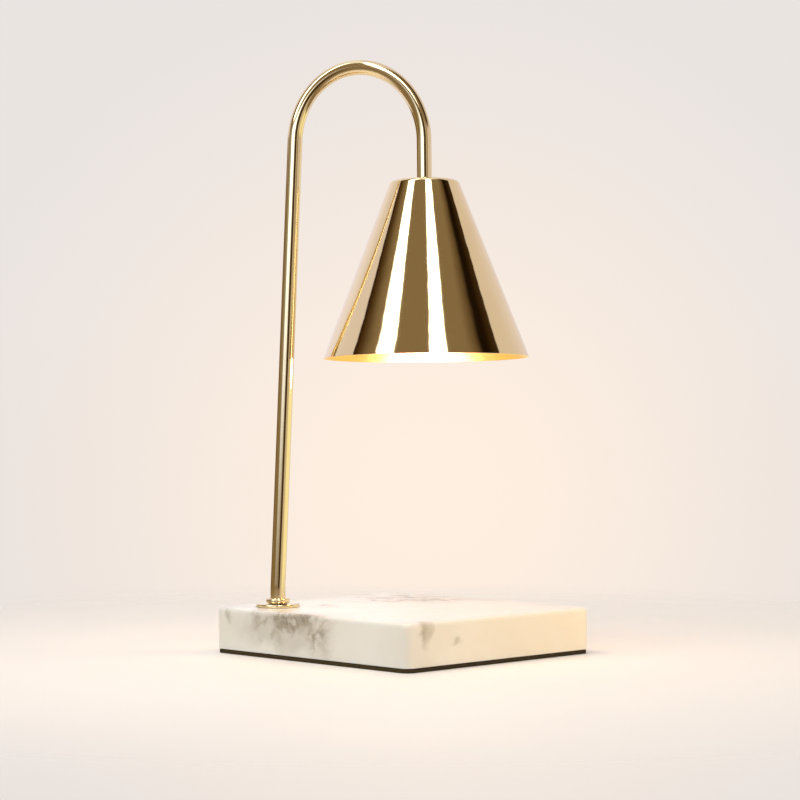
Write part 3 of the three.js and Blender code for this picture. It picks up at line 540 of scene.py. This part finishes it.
def makeBushing():
    b = inletBushing
    corners = [(b["bore"], -b["sleeve"]), (b["radius"], -b["sleeve"]), (b["radius"], b["gap"]),
               (b["flange"], b["gap"]), (b["flange"], b["gap"] + b["lip"]), (b["bore"], b["gap"] + b["lip"])]
    place = basePlace @ Matrix.Translation((-marbleSlab["length"] / 2, polePlace.y, marbleSlab["inletRise"]))
    outward = Matrix.Rotation(-math.pi / 2, 4, "Y")
    return turned("cordBushing", filleted(corners, b["edge"], closed=True), place @ outward, b["sides"])


slabPiece = finishPiece(makeSlab(), "lamp", "marble", marble, replaces=["marble_base"])
finishPiece(makePad(), "lamp", "pad", foam, replaces=["foot_pad"])
finishPiece(makeBushing(), "lamp", "black_plastic", blackNylon, replaces=["cord_bushing"])
print("base made")


# Arm: the tube's line runs up from its foot, through the arch, to the shade

armTube = {
    "radius": 4, "wall": 0.8, "sides": 72, "poleRise": 233.8, "archHalfSpan": 34, "archRise": 39.6,
    "dropLength": 21, "setRadius": 60, "straightFoot": 7, "lean": 2.1, "leanBack": 1.7, "opening": 2.65,
    "archSteps": 200, "setSteps": 8, "poleSteps": 24,
}
leanTurn = (
    Quaternion((1, 0, 0), -math.radians(armTube["leanBack"]))
    @ Quaternion((0, 1, 0), math.radians(armTube["lean"]))
)
tubeFoot = Vector((footPole.x, footPole.y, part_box("arm_tube")[0].z / mm))


def tubeLine():
    t = armTube
    up = Vector((0, 0, 1))
    leaning = leanTurn @ up
    sideways = Vector((leaning.x, leaning.y, 0)).normalized()
    setAngle = up.angle(leaning)
    setStart = tubeFoot + up * t["straightFoot"]
    line = [tubeFoot, tubeFoot + up * t["wall"]]
    for i in range(t["setSteps"] + 1):
        angle = setAngle * i / t["setSteps"]
        line.append(setStart + (sideways * (1 - math.cos(angle)) + up * math.sin(angle)) * t["setRadius"])
    poleStart = line[-1]
    for i in range(1, t["poleSteps"]):
        line.append(poleStart + leaning * (t["poleRise"] * i / t["poleSteps"]))
    spread = math.radians(t["opening"])
    archEnd = math.pi - math.atan(t["archRise"] / t["archHalfSpan"] * math.tan(spread))
    for i in range(t["archSteps"] + 1):
        angle = archEnd * i / t["archSteps"]
        across, rise = t["archHalfSpan"] * (1 - math.cos(angle)), t["archRise"] * math.sin(angle)
        line.append(poleStart + leanTurn @ Vector((across, 0, t["poleRise"] + rise)))
    down = leanTurn @ Vector((math.sin(spread), 0, -math.cos(spread)))
    end = line[-1] + down * t["dropLength"]
    return line + [end - down * t["wall"], end]


armLine = tubeLine()
tubeEnd = armLine[-1]
archNormal = leanTurn @ Vector((0, 1, 0))
dropUp = (armLine[-2] - tubeEnd).normalized()
dropAcross = archNormal.cross(dropUp).normalized()
dropPlace = Matrix.Translation(tubeEnd) @ Matrix((dropAcross, archNormal, dropUp)).transposed().to_4x4()
jointPoint = Vector(frame["joints"][0]["pos_m"]) / mm
bulbPlace = dropPlace @ Matrix.Translation((0, 0, -(tubeEnd - jointPoint).length))
print("bulb's origin is off the frame's by mm:", round((bulbPlace.translation - jointPoint).length, 4))


def sweptTree():
    # a round bar along the edges of a mesh
    tree = bpy.data.node_groups.new("sweptBar", "GeometryNodeTree")
    face = tree.interface
    face.new_socket("Line", in_out="INPUT", socket_type="NodeSocketGeometry")
    face.new_socket("Bar radius", in_out="INPUT", socket_type="NodeSocketFloat")
    face.new_socket("Sides", in_out="INPUT", socket_type="NodeSocketInt")
    face.new_socket("Closed ends", in_out="INPUT", socket_type="NodeSocketBool")
    face.new_socket("Finish", in_out="INPUT", socket_type="NodeSocketMaterial")
    face.new_socket("Bar", in_out="OUTPUT", socket_type="NodeSocketGeometry")
    given = addNode(tree, "NodeGroupInput").outputs
    line = addNode(tree, "GeometryNodeMeshToCurve", links={"Mesh": given["Line"]})
    section = addNode(
        tree, "GeometryNodeCurvePrimitiveCircle",
        links={"Resolution": given["Sides"], "Radius": given["Bar radius"]},
    )
    bar = addNode(
        tree, "GeometryNodeCurveToMesh",
        links={"Curve": line, "Profile Curve": section, "Fill Caps": given["Closed ends"]},
    )
    real = addNode(tree, "GeometryNodeRealizeInstances", links={"Geometry": bar})
    dressed = addNode(
        tree, "GeometryNodeSetMaterial", links={"Geometry": real, "Material": given["Finish"]})
    addNode(tree, "NodeGroupOutput", links={"Bar": dressed})
    return tree


def setInputs(modifier, **values):
    sockets = {s.name: s.identifier for s in modifier.node_group.interface.items_tree if s.in_out == "INPUT"}
    for name, value in values.items():
        modifier[sockets[name.replace("_", " ")]] = value


barTree = sweptTree()


def swept(name, line, radius, sides, finish, wall=0):
    mesh = bpy.data.meshes.new(name)
    mesh.from_pydata([p * mm for p in line], [(i, i + 1) for i in range(len(line) - 1)], [])
    piece = placed(name, mesh)
    bar = piece.modifiers.new("bar", "NODES")
    bar.node_group = barTree
    setInputs(bar, Bar_radius=radius * mm, Sides=sides, Closed_ends=not wall, Finish=finish)
    if wall:
        hollow = piece.modifiers.new("hollow", "SOLIDIFY")
        hollow.thickness = wall * mm
        hollow.offset = -1
        hollow.use_even_offset = True
    applied(piece)
    smoothed(piece.data, sharpAngles["drawn"])
    return piece


tube = swept("armTube", armLine, armTube["radius"], armTube["sides"], tubeBrass, armTube["wall"])
finishPiece(tube, "lamp", "polished_brass", tubeBrass, replaces=["arm_tube"])

poleFlange = {"radius": 11.5, "bore": 3.2, "thickness": 1.8, "edge": 0.6, "sides": 128}
poleCollar = {"bore": 4.3, "width": 2, "height": 2.5, "edge": 0.95, "edgeSteps": 10, "sides": 96}


def makeFoot():
    f, c = poleFlange, poleCollar
    outer = c["bore"] + c["width"]
    disc = [(f["bore"], 0), (f["radius"], 0), (f["radius"], f["thickness"]), (f["bore"], f["thickness"])]
    ring = [(c["bore"], 0), (outer, 0), (outer, c["height"]), (c["bore"], c["height"])]
    flangePlace = Matrix.Translation((footPole.x, footPole.y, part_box("pole_flange")[0].z / mm))
    collarPlace = Matrix.Translation((footPole.x, footPole.y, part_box("pole_collar")[0].z / mm))
    return (
        turned("poleFlange", filleted(disc, f["edge"], closed=True), flangePlace, f["sides"]),
        turned("poleCollar", filleted(ring, c["edge"], c["edgeSteps"], closed=True), collarPlace, c["sides"]),
    )


flange, collar = makeFoot()
finishPiece(flange, "lamp", "polished_brass", brass, replaces=["pole_flange"])
finishPiece(collar, "lamp", "polished_brass", brass, replaces=["pole_collar"])
print("arm made")


# Shade

coneShade = {
    "topRadius": 18, "rimRadius": 54.2, "height": 93.4, "wall": 0.9, "shoulder": 2.8, "bore": 3.2,
    "top": -0.25, "sides": 224, "rimRound": 0.15, "lip": 7.5, "crown": 0.17,
    "shoulderSteps": 14, "innerShoulderSteps": 10, "coneSteps": 10, "lipSteps": 8, "innerSteps": 12,
}


onFace = 0.01  # mm within which a point counts as on a face


def makeShade():
    s = coneShade
    slope = math.degrees(math.atan((s["rimRadius"] - s["topRadius"]) / s["height"]))
    shoulderX = s["topRadius"] - s["shoulder"] * math.tan(math.radians((90 - slope) / 2))
    shoulderZ = s["top"] - s["shoulder"]
    rimLevel = s["top"] - s["height"]
    rimWall = s["wall"] / math.cos(math.radians(slope))
    rim = [(s["rimRadius"] - rimWall, rimLevel), (s["rimRadius"], rimLevel)]
    outer = arcPoints(shoulderX, shoulderZ, s["shoulder"], slope, 90, s["shoulderSteps"])
    inner = arcPoints(shoulderX, shoulderZ, s["shoulder"] - s["wall"], 90, slope, s["innerShoulderSteps"])
    lip = filleted([inner[-1], *rim, outer[0]], s["rimRound"])[1:-1]
    # the cone stands a little proud above its lip, where the spinner's roller turned it in
    run = lip[-1] - outer[0]
    outward = Vector((-run.y, run.x)).normalized()
    cone = run.length - s["lip"]
    steps = [cone * i / s["coneSteps"] for i in range(1, s["coneSteps"] + 1)]
    steps += [cone + s["lip"] * i / s["lipSteps"] for i in range(1, s["lipSteps"])]
    outerSide = [
        outer[0].lerp(lip[-1], step / run.length)
        + outward * s["crown"] * (step / cone if step <= cone else 1 - ((step - cone) / s["lip"]) ** 2)
        for step in reversed(steps)
    ]
    innerSide = [inner[-1].lerp(lip[0], i / s["innerSteps"]) for i in range(1, s["innerSteps"])]
    bore = [(s["bore"], s["top"]), (s["bore"], s["top"] - s["wall"])]
    profile = [*lip, *outerSide, *outer, *bore, *inner, *innerSide]
    shade = turned("coneShade", profile, dropPlace, s["sides"])
    middle = dropPlace.inverted()
    shade.data.materials.append(brass)
    shade.data.materials.append(insideBrassPaintedGlow)
    for face in shade.data.polygons:
        here = middle @ (face.center / mm)
        radial = Vector((here.x, here.y, 0))
        inward = (middle.to_3x3() @ face.normal).dot(radial) < 0
        face.material_index = 1 if inward or here.z < rimLevel + onFace else 0
    return shade


def finishShade(shade):
    shares = [face.material_index for face in shade.data.polygons]
    finishPiece(shade, "lamp", "polished_brass", brass, insideBrassPaintedGlow, replaces=["shade"])
    shade.data.polygons.foreach_set("material_index", shares)
    return shade


shadePiece = finishShade(makeShade())
print("shade made")


# Bulb

bulbSizes = {
    "length": 48, "radius": 25, "rimHeight": 4.4, "wall": 1.6,
    "sides": 72, "outerSteps": 18, "innerSteps": 12,
    "baseRadius": 11, "baseLength": 16, "baseFlare": 1.6, "baseFlareHeight": 4, "baseEdge": 0.5,
    "baseEdgeSteps": 5, "baseSides": 80, "neckRadius": 9, "neckGrip": 5, "neckHeight": 1.5,
    "lensThickness": 2, "lensRecess": 0.4, "flareShare": 0.62, "gap": 0.25, "slide": 0.3,
    "pinSpacing": 10, "pinNeck": 1.5, "pinGrip": 3, "pinSides": 32, "capsuleRadius": 4.5, "capsuleSeat": 6,
    "lensEdge": 0.4, "lensRings": 56, "lensSides": 144,
    "dimplePitch": 2.9, "dimpleDepth": 0.45, "plainRim": 0.4,
}


def flareLine(neckRadius, rimRadius, steps):
    b = bulbSizes
    start = -b["baseLength"] - b["neckHeight"]
    end = b["rimHeight"] - b["length"]
    shares = [i / steps for i in range(steps + 1)]
    return [Vector((neckRadius + (rimRadius - neckRadius) * s ** b["flareShare"], start + (end - start) * s))
            for s in shares]


def makeReflector():
    b = bulbSizes
    neckTop = b["neckGrip"] - b["baseLength"] - b["gap"]
    rimInner = b["radius"] - b["wall"]
    ledge = b["lensRecess"] + b["lensThickness"] + b["gap"] - b["length"]
    outer = flareLine(b["neckRadius"], b["radius"] - b["wall"] / 2, b["outerSteps"])[::-1]
    inner = flareLine(b["neckRadius"] - b["wall"], rimInner - b["wall"], b["innerSteps"])
    profile = [(rimInner, -b["length"]), (b["radius"], -b["length"]),
               (b["radius"], b["rimHeight"] - b["length"] - b["wall"] / 2), *outer,
               (b["neckRadius"], neckTop), (b["neckRadius"] - b["wall"], neckTop), *inner,
               (rimInner - b["wall"], ledge), (rimInner, ledge)]
    return turned("bulbReflector", profile, bulbPlace, b["sides"])


def makeLens():
    b = bulbSizes
    radius = b["radius"] - b["wall"] - b["slide"]
    bottom = b["lensRecess"] - b["length"]
    top = bottom + b["lensThickness"]
    rim, *edge = filleted([(0, bottom), (radius, bottom), (radius, top), (0, top)], b["lensEdge"])[1:]
    rings = [Vector((rim.x * i / b["lensRings"], bottom)) for i in range(b["lensRings"])]
    lens = turned("bulbLens", [*rings, rim, *edge], bulbPlace, b["lensSides"], closed=False)
    # rows of pressed dimples, hexagonally packed, inside a plain rim
    pitch, rowStep = b["dimplePitch"], b["dimplePitch"] * math.sqrt(3) / 2
    home = bulbPlace.inverted()
    for vertex in lens.data.vertices:
        here = home @ (vertex.co / mm)
        if here.z > bottom + onFace or math.hypot(here.x, here.y) > rim.x - b["plainRim"]:
            continue
        away = pitch
        for row in (math.floor(here.y / rowStep), math.floor(here.y / rowStep) + 1):
            shift = pitch / 2 * (row % 2)
            column = round((here.x - shift) / pitch)
            away = min(away, math.hypot(here.x - shift - column * pitch, here.y - row * rowStep))
        here.z += b["dimpleDepth"] * max(0.0, 1 - (2 * away / pitch) ** 2)
        vertex.co = bulbPlace @ here * mm
    return lens


def makeBulbBase():
    b = bulbSizes
    flareRadius = b["baseRadius"] + b["baseFlare"]
    neckSeat = b["neckGrip"] - b["baseLength"]
    capsule = b["capsuleRadius"] + b["slide"]
    neck = b["neckRadius"] + b["slide"]
    corners = [(0, -b["capsuleSeat"]), (capsule, -b["capsuleSeat"]), (capsule, neckSeat), (neck, neckSeat),
               (neck, -b["baseLength"]), (flareRadius, -b["baseLength"]),
               (flareRadius, b["baseFlareHeight"] / 2 - b["baseLength"]),
               (b["baseRadius"], b["baseFlareHeight"] - b["baseLength"]), (b["baseRadius"], 0), (0, 0)]
    rounded = filleted(corners, b["baseEdge"], b["baseEdgeSteps"])
    body = turned("bulbBase", rounded, bulbPlace, b["baseSides"], closed=False)
    hole = b["pinNeck"] + b["slide"]
    drill = [(0, -b["pinGrip"] - b["gap"]), (hole, -b["pinGrip"] - b["gap"]), (hole, 1), (0, 1)]
    pinPlaces = [bulbPlace @ Matrix.Translation((0, side * b["pinSpacing"] / 2, 0)) for side in (-1, 1)]
    return cutBy(body, [turned("pinTool", drill, place, b["pinSides"], closed=False) for place in pinPlaces])


finishPiece(makeReflector(), "bulb", "mirrored_glass", mirrorGlass, replaces=["bulb_reflector"])
finishPiece(makeLens(), "bulb", "lens_glass", frontGlass, replaces=["bulb_lens"])
finishPiece(makeBulbBase(), "bulb", "ceramic", steatite, replaces=["bulb_base"])
print("bulb made")


# Hardware, lampholder and leads: the frame's own shapes, most with rounded edges, and threads on the studs

# mm within which points are welded, degrees within which faces count as one plane, and steps round an edge
frameMend = {"weld": 2e-3, "plane": 0.6, "edgeSteps": 3}


def linedUp(node, place, edge=0.0):
    # a copy of a frame piece in millimetres on the given place, with its edges rounded if edge is given
    source = frame["nodes"][node]
    mesh = source.data.copy()
    mesh.transform(place.inverted() @ Matrix.Scale(1 / mm, 4) @ source.matrix_world)
    edit = bmesh.new()
    edit.from_mesh(mesh)
    bmesh.ops.remove_doubles(edit, verts=edit.verts, dist=frameMend["weld"])
    flat = math.radians(frameMend["plane"])
    bmesh.ops.dissolve_limit(edit, angle_limit=flat, verts=edit.verts, edges=edit.edges)
    edit.to_mesh(mesh)
    edit.free()
    piece = placed("fine" + node.title().replace("_", ""), mesh)
    if edge:
        bevel = piece.modifiers.new("edges", "BEVEL")
        bevel.width = edge
        bevel.segments = frameMend["edgeSteps"]
        bevel.limit_method = "ANGLE"
        bevel.angle_limit = math.radians(sharpAngles["framed"])
        applied(piece)
    return piece


def settled(piece, place):
    # takes a piece from millimetres to its place and shades it smooth
    piece.data.transform(Matrix.Scale(mm, 4) @ place)
    smoothed(piece.data, sharpAngles["framed"])
    return piece


rolledThread = {"pitch": 1.0, "ridge": 0.13, "ridgeSides": 6, "turnSteps": 40, "ends": 0.5}


def threadTree():
    # a ridge that winds along +Z from the origin
    tree = bpy.data.node_groups.new("rolledThread", "GeometryNodeTree")
    face = tree.interface
    face.new_socket("Geometry", in_out="INPUT", socket_type="NodeSocketGeometry")
    for name in ("Thread radius", "Pitch", "Length", "Ridge"):
        face.new_socket(name, in_out="INPUT", socket_type="NodeSocketFloat")
    face.new_socket("Turn steps", in_out="INPUT", socket_type="NodeSocketInt")
    face.new_socket("Finish", in_out="INPUT", socket_type="NodeSocketMaterial")
    face.new_socket("Thread", in_out="OUTPUT", socket_type="NodeSocketGeometry")
    given = addNode(tree, "NodeGroupInput").outputs
    turns = addNode(
        tree, "ShaderNodeMath", links={0: given["Length"], 1: given["Pitch"]}, operation="DIVIDE")
    spiral = addNode(
        tree, "GeometryNodeCurveSpiral",
        links={"Resolution": given["Turn steps"], "Rotations": turns,
               "Start Radius": given["Thread radius"],
               "End Radius": given["Thread radius"], "Height": given["Length"]},
    )
    section = addNode(
        tree, "GeometryNodeCurvePrimitiveCircle", {"Resolution": rolledThread["ridgeSides"]},
        {"Radius": given["Ridge"]},
    )
    ridge = addNode(
        tree, "GeometryNodeCurveToMesh", {"Fill Caps": True},
        {"Curve": spiral, "Profile Curve": section},
    )
    real = addNode(tree, "GeometryNodeRealizeInstances", links={"Geometry": ridge})
    dressed = addNode(
        tree, "GeometryNodeSetMaterial", links={"Geometry": real, "Material": given["Finish"]})
    addNode(tree, "NodeGroupOutput", links={"Thread": dressed})
    return tree


windingTree = threadTree()


def threaded(piece, finish, radius, low, high):
    # winds a thread round a stud that stands in millimetres on +Z, as a second shell of the same piece
    t = rolledThread
    wound = placed("thread", bpy.data.meshes.new("thread"))
    ridge = wound.modifiers.new("thread", "NODES")
    ridge.node_group = windingTree
    setInputs(ridge, Thread_radius=radius, Pitch=t["pitch"], Length=high - low - 2 * t["ends"],
              Ridge=t["ridge"], Turn_steps=t["turnSteps"], Finish=finish)
    applied(wound)
    wound.data.transform(Matrix.Translation((0, 0, low + t["ends"])))
    edit = bmesh.new()
    edit.from_mesh(piece.data)
    edit.from_mesh(wound.data)
    edit.to_mesh(piece.data)
    edit.free()
    bpy.data.objects.remove(wound)
    return piece


def span(mesh):  # largest radius and the lowest and highest point, round +Z
    radius = max(math.hypot(v.co.x, v.co.y) for v in mesh.vertices)
    heights = [v.co.z for v in mesh.vertices]
    return radius, min(heights), max(heights)


footPlace = Matrix.Translation((footPole.x, footPole.y, slabLevel))
smallPieces = [  # body, slot, finish, and each node's rounded edge in mm
    ("lamp", "zinc_steel", zincPlate, {
        "pole_washer": 0.15, "pole_lock_washer": 0.12, "pole_nut": 0.35, "shade_washer": 0.15,
        "shade_lock_washer": 0.12, "shade_nut": 0.3, "holder_bracket": 0.2,
    }),
    ("lamp", "ceramic", steatite, {"holder_cover": 0.3, "lampholder": 0.3}),
    ("lamp", "spring_bronze", bronze, {"contact_line": 0.08, "contact_neutral": 0.08}),
    ("lamp", "zinc_steel", zincPlate, {"holder_screw_left": 0.12, "holder_screw_right": 0.12}),
    ("lamp", "brown_lead", brownSilicone, {"lead_line": 0.0}),
    ("lamp", "blue_lead", blueSilicone, {"lead_neutral": 0.0}),
    ("lamp", "white_plastic", whiteNylon, {"crimp_line": 0.3, "crimp_neutral": 0.3}),
    ("bulb", "nickel_pin", nickel, {"bulb_pin_line": 0.2, "bulb_pin_neutral": 0.2}),
    ("bulb", "quartz", quartz, {"bulb_capsule": 0.0}),
    ("bulb", "tungsten", tungsten, {"bulb_filament": 0.0}),
]
for body, slotName, finish, edges in smallPieces:
    for node, edge in edges.items():
        piece = settled(linedUp(node, dropPlace, edge), dropPlace)
        finishPiece(piece, body, slotName, finish, replaces=[node])
for node, place in (("pole_stud", footPlace), ("shade_stud", dropPlace)):
    stud = linedUp(node, place, 0.12)
    settled(threaded(stud, zincPlate, *span(stud.data)), place)
    finishPiece(stud, "lamp", "zinc_steel", zincPlate, replaces=[node])
print("hardware, lampholder and leads made")


# Floor, lights and surroundings

floorSizes = {"radius": 2.4, "underPad": 1.2, "nearFade": 0.17, "farFade": 0.5}
floorPaint = {"colour": 0xF6EEE5, "lift": 0.06, "roughness": 0.6, "shine": 0.2}


def makeFloor():
    # a round floor, open under the pad and clear from below, so that the underside can be looked at
    edit = bmesh.new()
    turn = Matrix.Rotation(-math.radians(marbleSlab["turn"]), 2)
    inner = [turn @ p for p in slabRow(marbleSlab, floorSizes["underPad"], 0, marbleSlab["cornerRadius"])[0]]
    rows = [[edit.verts.new((p.x, p.y, 0)) for p in (q.normalized() * floorSizes["radius"] for q in inner)],
            [edit.verts.new((p.x * mm, p.y * mm, 0)) for p in inner]]
    for k in range(len(inner)):
        n = (k + 1) % len(inner)
        edit.faces.new([rows[0][k], rows[0][n], rows[1][n], rows[1][k]])
    mesh = meshFrom(edit, "floor")
    floor = placed("floor", mesh)
    material, tree, shader, place = newMaterial("paintedFloor")
    paint = linearColour(floorPaint["colour"])
    wire(tree, shader, {"Base Color": paint, "Emission Color": paint, "Roughness": floorPaint["roughness"],
                        "Specular IOR Level": floorPaint["shine"]})
    rays = addNode(tree, "ShaderNodeLightPath").outputs
    seen = rays["Is Camera Ray"]
    for kind in ("Is Glossy Ray", "Is Transmission Ray"):
        seen = addNode(tree, "ShaderNodeMath", links={0: seen, 1: rays[kind]}, operation="MAXIMUM")
    lift = addNode(tree, "ShaderNodeMath", {1: floorPaint["lift"]}, {0: seen}, operation="MULTIPLY")
    wire(tree, shader, links={"Emission Strength": lift})
    reach = addNode(tree, "ShaderNodeVectorMath", links={"Vector": place}, operation="LENGTH")
    fade = addNode(
        tree, "ShaderNodeMapRange", {"From Min": floorSizes["nearFade"], "From Max": floorSizes["farFade"]},
        {"Value": reach}, interpolation_type="SMOOTHSTEP",
    )
    sky = addNode(tree, "ShaderNodeBsdfTransparent")
    under = addNode(tree, "ShaderNodeNewGeometry").outputs["Backfacing"]
    clear = addNode(tree, "ShaderNodeMath", links={0: fade, 1: under}, operation="MAXIMUM")
    blend = addNode(
        tree, "ShaderNodeMixShader",
        links={0: clear, 1: shader, 2: sky},
    )
    output = next(n for n in tree.nodes if n.type == "OUTPUT_MATERIAL")
    wire(tree, output, links={"Surface": blend})
    mesh.materials.append(material)


# what polished metal sees round it: azimuth from the front towards the right and elevation, both in degrees;
# a card is its span across, span up, colour and strength, and a span is (from, softness there, to, softness
# there); plain is what every other surface gets
studio = {
    "wall": (0xF8F1FF, 1.0), "room": (0x8D795D, 1.0), "ceiling": (0xFFFFFF, 1.05),
    "plain": (0.6, 0.591, 0.576), "roomSpan": (-97, 98, 1.5), "ceilingEdge": (66, 8),
    "cards": [
        ((97, 2, 186, 3), (-95, 1, 95, 1), 0xEEE3E8, 1.0),
        ((97, 2, 134, 28), (12, 6, 80, 6), 0xE4D8D4, 1.0),
        ((-130, 14, -97, 1.5), (12, 6, 80, 6), 0xE9DFE6, 1.0),
        ((-99, 1, -82, 12), (18, 3, 62, 9), 0x4C3619, 1.0),
        ((-99, 1, -95, 3), (18, 3, 62, 9), 0x2C1606, 1.0),
        ((-66, 2, -43.5, 1.2), (21, 2, 78, 2), 0xFFFFFF, 4.5),
        ((4, 1.2, 27, 1.2), (21, 2, 78, 2), 0xFFFFFF, 4.5),
        ((61, 9, 98, 1.5), (18, 3, 62, 4), 0x69553B, 1.0),
        ((72, 5, 98, 1.5), (18, 3, 62, 4), 0x1D1004, 1.0),
        ((88, 6, 98, 1.5), (18, 3, 62, 4), 0x3B2812, 1.0),
        # behind, where the slab's polished top looks
        ((168, 5, 200, 1), (-20, 1, 5, 3), 0xFFFAF0, 1.0),
        ((-200, 1, -168, 5), (-20, 1, 5, 3), 0xFFFAF0, 1.0),
        # lower, where only the upright tube looks
        ((-142, 8, -98, 8), (-14, 2, 9.5, 2), 0x7A6030, 1.0),
        ((-98, 8, -50, 2), (-14, 2, 16, 3), 0x87724A, 1.0),
        ((-78, 8, -50, 2), (5, 4, 16, 3), 0xABA79C, 1.0),
        ((-50, 2.5, -5, 4), (4.5, 7, 17, 2.5), 0xDCE8FF, 2.6),
        ((24, 5, 60, 6), (-14, 2, 17, 3), 0xD2C4AE, 1.0),
        ((42, 3, 56, 3), (4, 3, 17, 3), 0x8F7B55, 1.0),
        ((5, 5, 29, 6), (-14, 2, 17, 3), 0x3A2814, 1.0),
        ((58, 8, 132, 12), (-14, 2, 4.5, 3), 0xFFF8CA, 1.12),
        ((58, 8, 100, 12), (4.5, 3, 17, 3), 0xE8DCD8, 1.0),
    ],
}
# the painted glow of the lamp's light on the backdrop behind it: its middle and reach in degrees, and its
# colour
backGlow = {"azimuth": 0.7, "elevation": -2.2, "reach": 13.2, "colour": 0xFFEFE0}
# the wall's colours by share of the span between two elevations in degrees
wallColours = {"span": (-2.0, 10.0), "stops": [(0.0, 0xE9E2DE), (0.35, 0xEAE4E1), (1.0, 0xEAE4E1)]}


def makeSurroundings():
    world = bpy.data.worlds.new("studio")
    bpy.context.scene.world = world
    world.use_nodes = True
    tree = world.node_tree
    tree.nodes.clear()
    heading = addNode(tree, "ShaderNodeTexCoord").outputs["Generated"]
    axes = addNode(tree, "ShaderNodeSeparateXYZ", links={"Vector": heading}).outputs

    def maths(operation, a, b=None, **values):
        links = {0: a} if b is None else {0: a, 1: b}
        return addNode(
            tree, "ShaderNodeMath", {int(k[1]): v for k, v in values.items()}, links, operation=operation
        )

    ahead = maths("MULTIPLY", axes["Y"], _1=-1.0)
    azimuth = maths("MULTIPLY", maths("ARCTAN2", axes["X"], ahead), _1=math.degrees(1))
    elevation = maths("MULTIPLY", maths("ARCSINE", axes["Z"]), _1=math.degrees(1))

    def step(value, edge, soft):  # 0 below an edge and 1 above it
        return addNode(
            tree, "ShaderNodeMapRange", {"From Min": edge - soft, "From Max": edge + soft},
            {"Value": value}, interpolation_type="SMOOTHSTEP",
        )

    def band(value, low, lowSoft, high, highSoft):
        return maths("SUBTRACT", step(value, low, lowSoft), step(value, high, highSoft))

    def lit(colour, strength):
        return [c * strength for c in linearColour(colour)[:3]] + [1.0]

    def over(below, mask, colour, strength):
        links = {"Factor": mask, "A": below}
        return addNode(tree, "ShaderNodeMix", {"B": lit(colour, strength)}, links, data_type="RGBA")

    wall = addNode(tree, "ShaderNodeRGB")
    wall.outputs[0].default_value = lit(*studio["wall"])
    start, end, soft = studio["roomSpan"]
    seen = over(wall, band(azimuth, start, soft, end, soft), *studio["room"])
    seen = over(seen, step(elevation, *studio["ceilingEdge"]), *studio["ceiling"])
    for across, up, colour, strength in studio["cards"]:
        mask = maths("MULTIPLY", band(azimuth, *across), band(elevation, *up))
        seen = over(seen, mask, colour, strength)

    low, high = wallColours["span"]
    height = addNode(tree, "ShaderNodeMapRange", {"From Min": low, "From Max": high}, {"Value": elevation})
    backdrop = ramp(tree, height, wallColours["stops"])
    middle = [math.sin(math.radians(backGlow[axis])) for axis in ("azimuth", "elevation")] + [0]
    away = addNode(
        tree, "ShaderNodeVectorMath", {1: middle},
        {0: addNode(tree, "ShaderNodeCombineXYZ", links={"X": axes["X"], "Y": axes["Z"]})},
        operation="DISTANCE",
    )
    paintedGlowMask = addNode(
        tree, "ShaderNodeMapRange", {"From Min": math.sin(math.radians(backGlow["reach"])), "From Max": 0.0},
        {"Value": away}, interpolation_type="SMOOTHSTEP",
    )
    backdrop = over(backdrop, paintedGlowMask, backGlow["colour"], 1.0)
    plain = addNode(tree, "ShaderNodeRGB")
    plain.outputs[0].default_value = [*studio["plain"], 1.0]
    rays = addNode(tree, "ShaderNodeLightPath").outputs
    chosen = addNode(
        tree, "ShaderNodeMix", links={"Factor": rays["Is Glossy Ray"], "A": plain, "B": seen},
        data_type="RGBA",
    )
    direct = maths("MAXIMUM", rays["Is Camera Ray"], rays["Is Transmission Ray"])
    chosen = addNode(
        tree, "ShaderNodeMix", links={"Factor": direct, "A": chosen, "B": backdrop}, data_type="RGBA")
    shine = addNode(tree, "ShaderNodeBackground", links={"Color": chosen})
    addNode(tree, "ShaderNodeOutputWorld", links={"Surface": shine})


lampLights = {  # kind, place, aims at, size, colour, watts
    "overheadSoftbox": ("AREA", (-190, -300, 900), (20, 0, 30), 700, 0xFFFFFF, 3.7),
    "warmFill": ("AREA", (300, -120, 90), (85, -15, 14), 130, 0xFFC75C, 0.28),
    "bulbGlow": ("POINT", None, None, 14, 0xFFEBCB, 0.22),
}
# light that comes back up from what stands under the shade, which only the shade takes
returnGlow = {"drop": 58, "diameter": 56, "colour": 0xFF9EFC, "watts": 0.27}


def placeLight(name, light, place, heading=(0, 0, -1)):
    holder = placed(name, light)
    holder.location = Vector(place) * mm
    holder.rotation_euler = Vector(heading).to_track_quat("-Z", "Y").to_euler()
    holder.visible_camera = False
    return holder


def lightOnly(holder, piece):
    takers = bpy.data.collections.new(holder.name + "Takers")
    takers.objects.link(piece)
    holder.light_linking.receiver_collection = takers


def makeLights():
    for name, (kind, place, aim, size, colour, watts) in lampLights.items():
        light = bpy.data.lights.new(name, kind)
        light.color = linearColour(colour)[:3]
        light.energy = watts
        if kind == "AREA":
            light.shape = "DISK"
            light.size = size * mm
            placeLight(name, light, place, Vector(aim) - Vector(place)).visible_glossy = False
        else:
            # 1 mm clear of the bulb's face
            light.shadow_soft_size = size * mm
            placeLight(name, light, bulbPlace @ Vector((0, 0, -bulbSizes["length"] - size - 1)))
    g = returnGlow
    light = bpy.data.lights.new("returnGlow", "AREA")
    light.shape = "DISK"
    light.size = g["diameter"] * mm
    light.color = linearColour(g["colour"])[:3]
    light.energy = g["watts"]
    below = bulbPlace @ Vector((0, 0, -bulbSizes["length"] - g["drop"]))
    glow = placeLight("returnGlow", light, below, (0, 0, 1))
    lightOnly(glow, shadePiece)
    lightOnly(bpy.data.objects["warmFill"], slabPiece)


makeFloor()
makeSurroundings()
makeLights()
bpy.context.scene.view_settings.view_transform = "Standard"
print("surroundings made")
